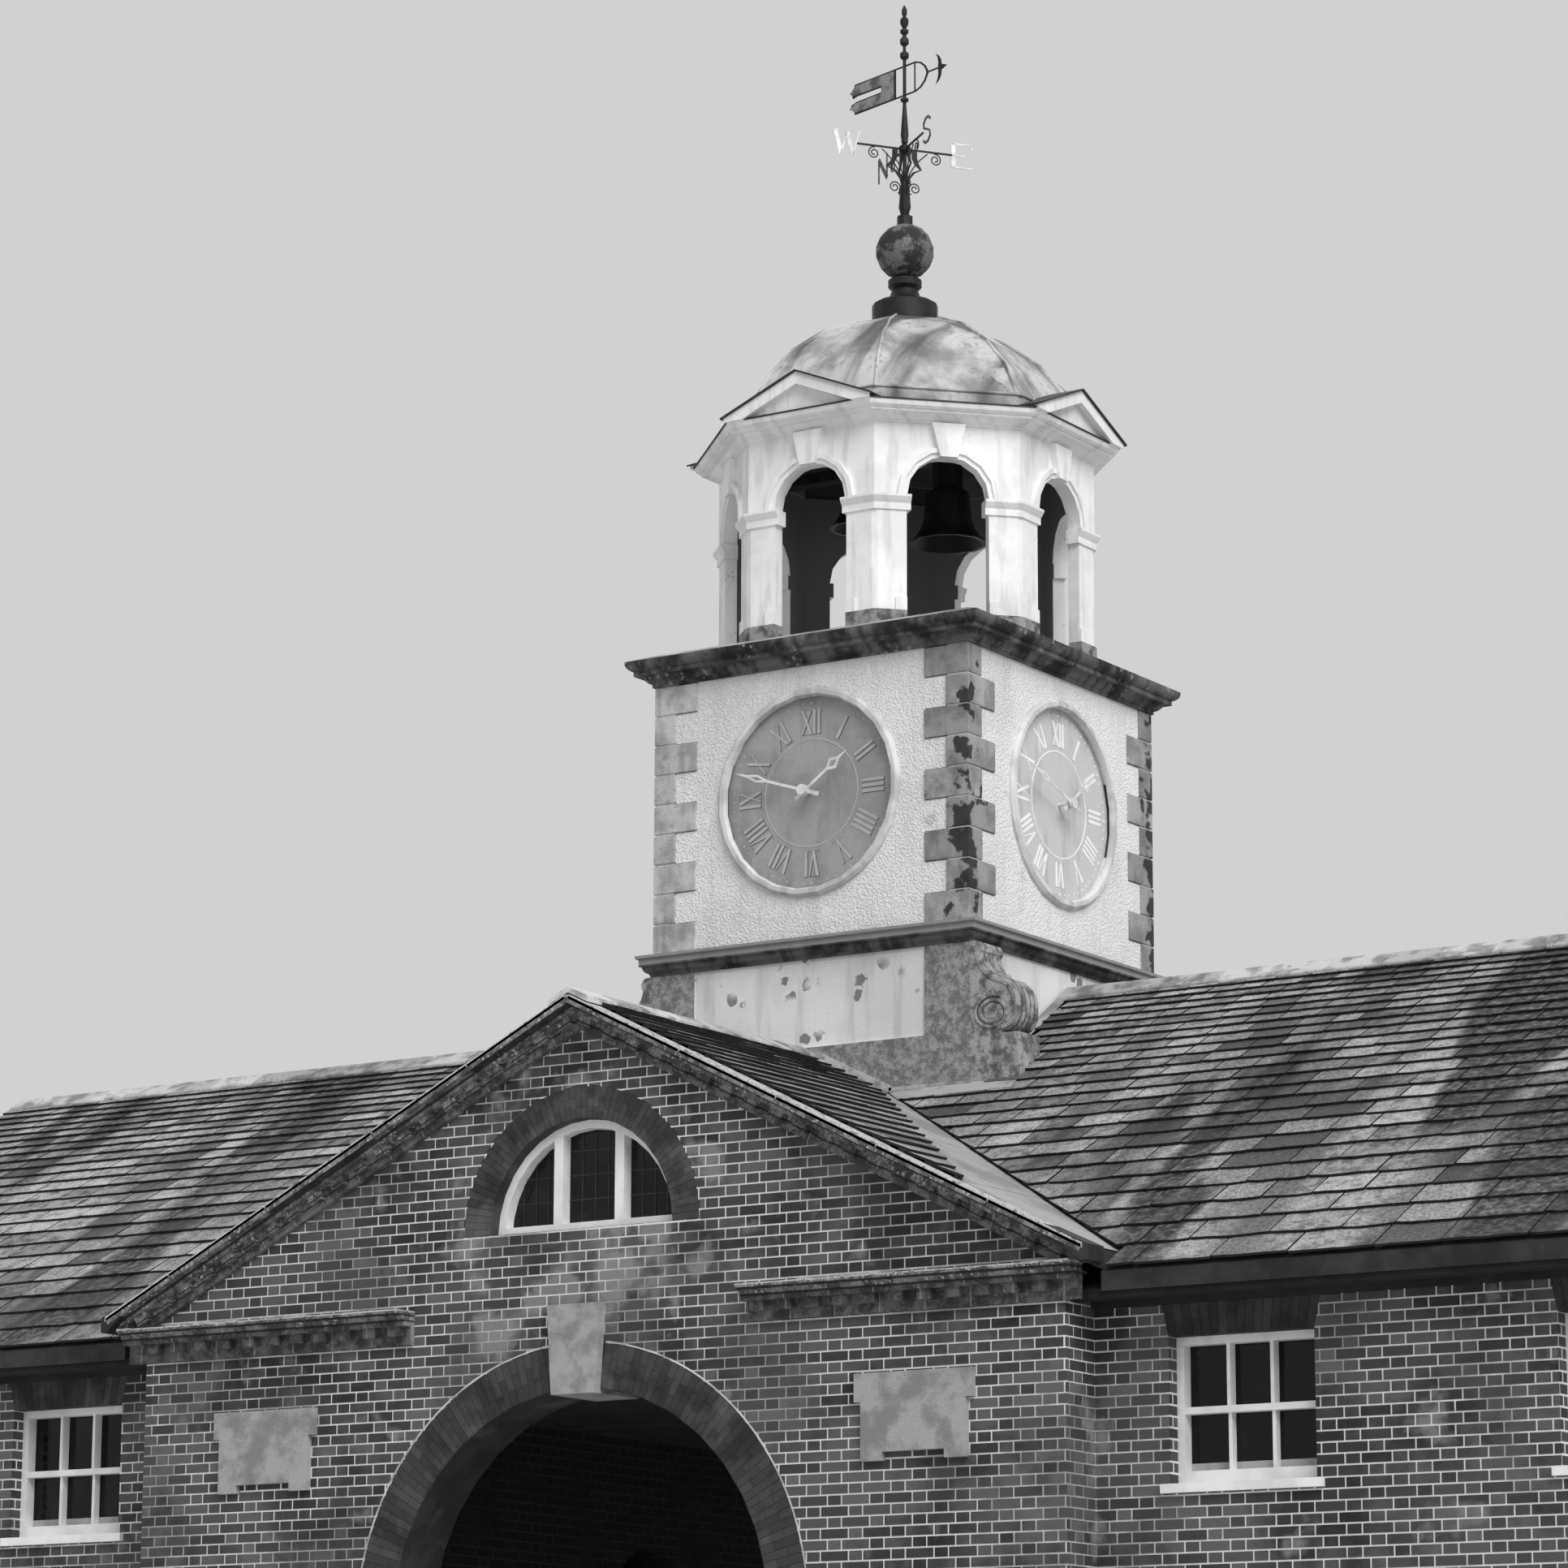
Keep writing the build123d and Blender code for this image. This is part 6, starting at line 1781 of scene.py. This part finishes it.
class Numeral(Enum):
    """The hours as they are painted, four strokes for the fourth."""

    I, II, III, IIII, V, VI, VII, VIII, IX, X, XI, XII = range(1, 13)

    def strokes(self, stem: float, thin: float) -> tuple[float, list[Quad]]:
        """The numeral's strokes, about its middle.

        Args:
            stem: Width of a heavy stroke.
            thin: Width of a light one.

        Returns:
            Half its width, then each stroke's foot and head across it, its width and its share of the paint.
        """
        advance = {"I": 0.043, "V": 0.094, "X": 0.098}
        half_width = sum(advance[letter] for letter in self.name) / 2
        at, strokes = -half_width, []
        for letter in self.name:
            middle, half = at + advance[letter] / 2, advance[letter] / 2 - 0.008
            if letter == "I":
                strokes.append((middle, middle, stem, 1.0))
            else:
                foot = half if letter == "X" else 0.0
                strokes += [(middle + foot, middle - half, stem, 1.0),
                            (middle - foot, middle + half, thin, 0.8)]
            at += advance[letter]
        return half_width, strokes


@dataclass
class Dials(Part):
    """The painted marks of the four dials."""

    height: float = 9.89
    face: float = 1.403
    inner: float = 0.425
    inner_width: float = 0.010
    inner_steps: int = 72
    numeral_low: float = 0.465
    numeral_high: float = 0.662
    dots: float = 0.715
    dot_sizes: Point = (0.011, 0.008)
    stem: float = 0.024
    thin: float = 0.011
    thick: float = 0.0025
    # Offset and thickness of the painted shadow drawn beside each numeral.
    shade: Point = (0.008, -0.006)
    shade_thick: float = 0.0012

    def build(self, palette: Palette) -> None:
        """Marks every dial, with a painted shadow beside each numeral on the front and the rear."""
        for side in Side:
            name, shaded = side.name.lower(), side in (Side.FRONT, Side.REAR)
            draft, shade = Draft(f"dial_marks_{name}"), Draft(f"dial_shading_{name}")
            for numeral in Numeral:
                angle = math.radians(30 * numeral.value)
                self.numeral(draft, side, numeral, angle)
                # A dark offset copy of the numeral: painted shadow of its relief.
                if shaded:
                    self.numeral(shade, side, numeral, angle, self.shade, self.shade_thick)
            for index in range(60):
                angle = math.radians(6 * index)
                x, y = self.dots * math.sin(angle), self.dots * math.cos(angle)
                outline = round_bar(self.dot_sizes[index % 5 > 0], 8)
                self.patch(draft, side, [(x + u, y + w) for u, w in outline], self.thick)
            self.circle(draft, side)
            draft.make(palette, "dial_marks" if shaded else "dial_marks_pale")
            if shaded:
                shade.make(palette, "dial_shade")

    def patch(self, draft: Draft, side: Side, flat: Sequence[Point], thick: float) -> None:
        """A painted shape on a dial, from its outline as seen from in front."""
        right, out = side.axes()
        draft.patch(flat, out * self.face + UP * self.height, right, thick)

    def circle(self, draft: Draft, side: Side) -> None:
        """The painted circle inside the numerals."""
        right, out = side.axes()
        start, count = len(draft.corners), self.inner_steps
        for depth in (self.thick, -0.001):
            for reach in (self.inner - self.inner_width / 2, self.inner + self.inner_width / 2):
                draft.corners += [right * x + out * (self.face + depth) + UP * (self.height + z)
                                  for x, z in round_bar(reach, count)]
        inner, outer, deep_inner, deep_outer = (start + count * k for k in range(4))
        for index in range(count):
            after = (index + 1) % count
            for a, b in ((inner, outer), (outer, deep_outer), (deep_outer, deep_inner), (deep_inner, inner)):
                draft.faces.append((a + index, b + index, b + after, a + after))
                draft.tones.append(0.5)

    def numeral(self, draft: Draft, side: Side, numeral: Numeral, angle: float, shift: Point = (0.0, 0.0),
                thick: float = 0.0) -> None:
        """One numeral, its foot towards the middle of the dial.

        Args:
            draft: The piece that it goes in.
            side: The dial's side.
            numeral: The hour.
            angle: Its angle from the top, clockwise.
            shift: How far it is moved to the right and up.
            thick: One thickness for all its strokes, or 0 for their own.
        """
        sine, cosine, (low, high) = math.sin(angle), math.cos(angle), (self.numeral_low, self.numeral_high)

        def put(foot: Point, head: Point, width: float, share: float) -> None:
            """Places a stroke with level ends, given as (to the right, outwards)."""
            flat = [(foot[0] - width / 2, foot[1]), (foot[0] + width / 2, foot[1]),
                    (head[0] + width / 2, head[1]), (head[0] - width / 2, head[1])]
            points = [(cosine * a + sine * b + shift[0], -sine * a + cosine * b + shift[1]) for a, b in flat]
            self.patch(draft, side, points, thick or self.thick * share)

        half, strokes = numeral.strokes(self.stem, self.thin)
        for foot, head, width, share in strokes:
            put((foot, low), (head, high), width, share)
        for level in (low, high):
            put((-half, level), (half, level), self.thin * 0.8, 0.6)


@dataclass
class Windows(Part):
    """Glazing bars of the sashes and the lead cames of the half-round windows."""

    setback: float = 0.11
    rebate: float = 0.012
    depth: float = 0.09
    stile: float = 0.055
    meeting: float = 0.045
    bottom: float = 0.09
    lower_set_in: float = 0.016
    bar: float = 0.026
    housed: float = 0.003
    crossing: float = 0.002
    sunk: float = 0.002
    columns: int = 3
    tall: float = 1.2
    board: float = 0.055
    board_depth: Point = (0.003, 0.001)
    lunette_setback: float = 0.19
    lunette_radius: float = 0.73
    mullion_x: float = 0.265
    mullion: float = 0.078
    rail: float = 0.06
    came: float = 0.01
    came_rise: float = 0.175
    came_proud: Point = (0.005, 0.004)
    came_sunk: float = 0.001
    came_least: float = 0.03
    panes: int = 4
    pane_gap: float = 0.001

    def build(self, palette: Palette) -> None:
        """Glazes every window."""
        bars, boards, cames = Draft("sash_bars"), Draft("inner_boards"), Draft("lead_cames")
        for _ in quarters(bars, boards):
            for middle in PLAN.windows:
                for sill, head in PLAN.storeys:
                    self.sash(bars, boards, middle, sill, head)
        for sign in HANDS:
            cames.mirror = (1, sign)
            self.leading(cames)
        bars.make(palette, "joinery_paint", bevel=0.003)
        boards.make(palette, "inner_board")
        cames.make(palette, "lead_came")

    def sash(self, bars: Draft, boards: Draft, middle: float, sill: float, head: float) -> None:
        """The bars of one window's two sashes, and the board seen at their foot.

        Args:
            bars: The piece that the bars go in.
            boards: The piece that the board goes in.
            middle: The window's middle along the wing.
            sill: Height of its sill.
            head: Height of its head.
        """
        half, wide = (sill + head) / 2, PLAN.window_half - self.stile
        left, right = middle - wide, middle + wide
        plane = -PLAN.wing_front + self.setback
        front, back = plane + self.rebate, plane + self.depth
        rows = 1 if head - sill < self.tall else 2
        for low, high, set_in in ((sill + self.bottom, half - self.meeting / 2, self.lower_set_in),
                                  (half + self.meeting / 2, head - self.stile, 0.0)):
            for index in range(1, self.columns):
                x = left + (right - left) * index / self.columns
                bars.block((x - self.bar / 2, front + set_in, low - self.housed),
                           (x + self.bar / 2, back + self.sunk, high + self.housed))
            for index in range(1, rows):
                z = low + (high - low) * index / rows
                bars.block((left - self.housed, front + set_in + self.crossing, z - self.bar / 2),
                           (right + self.housed, back + self.sunk, z + self.bar / 2))
        foot, (proud, sunk) = sill + self.bottom, self.board_depth
        boards.block((left, back - proud, foot), (right, back + sunk, foot + self.board))

    def leading(self, cames: Draft) -> None:
        """The lead net of one half-round window, light by light."""
        y, radius, spring = -PLAN.front + self.lunette_setback, self.lunette_radius, PLAN.lunette_spring
        low, half, (post, cross) = spring + self.rail, self.came / 2, self.came_proud
        inner, outer = self.mullion_x - self.mullion / 2, self.mullion_x + self.mullion / 2
        for x0, x1 in ((-radius, -outer), (-inner, inner), (outer, radius)):
            for index in range(1, self.panes):
                x = x0 + (x1 - x0) * index / (self.panes + self.pane_gap)
                high = spring + math.sqrt(radius ** 2 - x ** 2)
                cames.block((x - half, y - post, low), (x + half, y + self.came_sunk, high))
            z = low + self.came_rise
            while z < spring + radius:
                reach = math.sqrt(radius ** 2 - (z - spring) ** 2)
                a, b = max(x0, -reach), min(x1, reach)
                if b - a > self.came_least:
                    cames.block((a, y - cross, z - half), (b, y + self.came_sunk, z + half))
                z += self.came_rise


@dataclass
class Studio(Part):
    """Camera, soft light, pale floor and plain background."""

    stand: Triple = (20.363, -33.212, 1.542)
    yaw: float = 32.947
    pitch: float = 12.563
    roll: float = 0.195
    focal: float = 6150.12
    frame_width: float = 1932.0
    sensor: float = 36.0
    lamps: tuple[tuple[str, Triple, float, float], ...] = (
        ("key", (0.78, -0.5, 0.8), 2.65, 40.0), ("back", (-0.5, 0.7, 0.8), 0.4, 70.0))
    floor_reach: float = 150.0
    floor_drop: float = 0.002
    backdrop: float = 209.0
    glow: float = 172.0

    def build(self, palette: Palette) -> None:
        """Sets up everything round the object."""
        self.camera()
        self.light()
        self.floor(palette)
        self.background()

    def stand_up(self, name: str, data: bpy.types.ID) -> bpy.types.Object:
        """Puts a new object in the scene."""
        made = bpy.data.objects.new(name, data)
        bpy.context.scene.collection.objects.link(made)
        return made

    def camera(self) -> None:
        """Puts the camera where the photograph was taken."""
        yaw, pitch, roll = (math.radians(value) for value in (self.yaw, self.pitch, self.roll))
        ahead = Vector((-math.sin(yaw) * math.cos(pitch), math.cos(yaw) * math.cos(pitch), math.sin(pitch)))
        right = compass(yaw)[0]
        up = right.cross(ahead)
        level = right * math.cos(roll) + up * math.sin(roll)
        upright_way = up * math.cos(roll) - right * math.sin(roll)
        data = bpy.data.cameras.new("camera")
        data.sensor_width = self.sensor
        data.lens = self.focal / self.frame_width * self.sensor
        data.clip_end = 400.0
        camera = self.stand_up("camera", data)
        turn = Matrix((level, upright_way, -ahead)).transposed().to_4x4()
        camera.matrix_world = Matrix.Translation(self.stand) @ turn
        bpy.context.scene.camera = camera

    def light(self) -> None:
        """Soft light from high on the right, and a weak one from behind."""
        for name, towards, power, spread in self.lamps:
            data = bpy.data.lights.new(name, "SUN")
            data.energy = power
            data.angle = math.radians(spread)
            lamp = self.stand_up(name, data)
            lamp.rotation_mode = "QUATERNION"
            lamp.rotation_quaternion = Vector(towards).to_track_quat("Z", "Y")

    def floor(self, palette: Palette) -> None:
        """A wide pale floor just under the walls."""
        mesh, reach = bpy.data.meshes.new("floor"), self.floor_reach
        ring = [(x * reach, y * reach, -self.floor_drop) for x, y in ((-1, -1), (1, -1), (1, 1), (-1, 1))]
        mesh.from_pydata(ring, [], [(0, 1, 2, 3)])
        made = self.stand_up("floor", mesh)
        palette.dress(made, "pale_floor")

    def background(self) -> None:
        """A plain pale backdrop that lights the object only weakly."""
        world = bpy.data.worlds.new("backdrop")
        bpy.context.scene.world = world
        world.use_nodes = True
        shader = Shader(world.node_tree)
        rays = shader.node("ShaderNodeLightPath").outputs
        mirrored = shader.math("MAXIMUM", rays["Is Glossy Ray"], rays["Is Transmission Ray"])
        seen = shader.math("MAXIMUM", rays["Is Camera Ray"], mirrored)
        surface = world.node_tree.nodes["Background"]
        shader.feed(surface.inputs["Color"], shader.mix(seen, grey(self.glow), grey(self.backdrop)))


class Dressing(Enum):
    """The CAD nodes that get each finish, under the finish's name."""

    LAID_BRICK = "pavilion_piers pavilion_spandrels pavilion_gables wing_walls party_walls"
    # The passage's walls, drawn near black as painted shade.
    INNER_BRICK = "passage_walls passage_door_heads"
    RUBBED_BRICK = "arch_rings lunette_arches window_lintels"
    LEVEL_CORNICE = "cornice_returns"
    RAKING_CORNICE = "raking_cornices_left raking_cornices_right"
    KEYSTONE = "arch_keystones wall_tablets"
    JOINERY_PAINT = "lunette_frames sash_frames window_sills"
    # The eaves band, drawn near black as painted shade.
    EAVES_PAINT = "eaves_bands"
    ROOF_BOARDS = "main_roof_front main_roof_rear pavilion_roof_left pavilion_roof_right floors"
    RENDER = "clock_stage_walls"
    PEELING_RENDER = "tower_base"
    DRESSED_STONE = "scroll_consoles quoins"
    SOOTY_STONE = "main_cornice"
    BELT_STONE = "string_course"
    FLAT_LEAD = "tower_deck"
    FOOT_STONE = "cupola_feet"
    CUPOLA_PAINT = ("cupola_piers cupola_imposts cupola_arches_square cupola_arches_diagonal cupola_cornice "
                    "cupola_pediments")
    DOME_LEAD = "dome"
    DIAL_FACE = "dials"
    DIAL_RING = "dial_rings"
    BLACK_IRON = "mast compass_arms vane finial_neck"
    MOTTLED_BALL = "finial_ball"
    BELL_METAL = "large_bell small_bell"
    OAK_BEAM = "bell_beam"
    WINDOW_GLASS = "window_glass"
    LUNETTE_GLASS = "lunette_glass"
    GILT_HAND = " ".join(f"{side.name.lower()}_{kind}_hand" for side in Side for kind in ("minute", "hour"))

    @staticmethod
    def apply(palette: Palette, nodes: dict[str, bpy.types.Object]) -> None:
        """Dresses every node.

        Args:
            palette: The finishes.
            nodes: The CAD nodes by name.
        """
        bare = set(nodes)
        for choice in Dressing:
            for name in choice.value.split():
                palette.dress(nodes[name], choice.name.lower())
                bare.discard(name)
        LOG.info("nodes without a finish: %s", sorted(bare) or "none")


class Softening:
    """A modifier that shades the facets of turned work as round, without moving a corner."""

    NODES = ("dial_rings", "dials", "large_bell", "small_bell", "finial_neck", "finial_ball", "mast", "dome",
             "vane", "arch_rings", "lunette_arches", "cupola_arches_square", "cupola_arches_diagonal",
             "lunette_frames", "scroll_consoles", "cupola_cornice", "main_cornice", "string_course")

    def __init__(self, limit: float = 31.0) -> None:
        """Builds the node group.

        Args:
            limit: Edges that turn by more than this many degrees stay sharp.
        """
        self.tree = bpy.data.node_groups.new("soften", "GeometryNodeTree")
        for way in ("INPUT", "OUTPUT"):
            self.tree.interface.new_socket(name="Geometry", in_out=way, socket_type="NodeSocketGeometry")
        source, result, weld, round_off, crease, bend, over = (self.tree.nodes.new(kind) for kind in (
            "NodeGroupInput", "NodeGroupOutput", "GeometryNodeMergeByDistance", "GeometryNodeSetShadeSmooth",
            "GeometryNodeSetShadeSmooth", "GeometryNodeInputMeshEdgeAngle", "FunctionNodeCompare"))
        weld.inputs["Distance"].default_value = 0.00005
        crease.domain = "EDGE"
        crease.inputs["Shade Smooth"].default_value = False
        over.operation = "GREATER_THAN"
        over.inputs[1].default_value = math.radians(limit)
        for output, socket in ((source.outputs[0], weld.inputs["Geometry"]),
                               (weld.outputs["Geometry"], round_off.inputs["Geometry"]),
                               (round_off.outputs["Geometry"], crease.inputs["Geometry"]),
                               (bend.outputs["Unsigned Angle"], over.inputs[0]),
                               (over.outputs["Result"], crease.inputs["Selection"]),
                               (crease.outputs["Geometry"], result.inputs[0])):
            self.tree.links.new(output, socket)

    def apply(self, nodes: dict[str, bpy.types.Object]) -> None:
        """Gives the modifier to every round CAD node."""
        for name in self.NODES:
            nodes[name].modifiers.new("softening", "NODES").node_group = self.tree
        LOG.info("softened %d nodes", len(self.NODES))


def main() -> None:
    """Builds the scene piece by piece."""
    logging.basicConfig(level=logging.INFO, format="%(name)s: %(message)s")
    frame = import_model()
    bpy.context.scene.view_settings.view_transform = "Standard"
    palette = Palette()
    Dressing.apply(palette, frame["nodes"])
    Softening().apply(frame["nodes"])
    for part in (Walls(), GaugedArches(), Cornices(), Roofs(), Leadwork(), Carving(), Quoins(), Dials(),
                 Windows(), Ironwork(), Studio()):
        part.build(palette)
        LOG.info("%s built", type(part).__name__)
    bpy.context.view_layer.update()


if __name__ == "__main__":
    main()
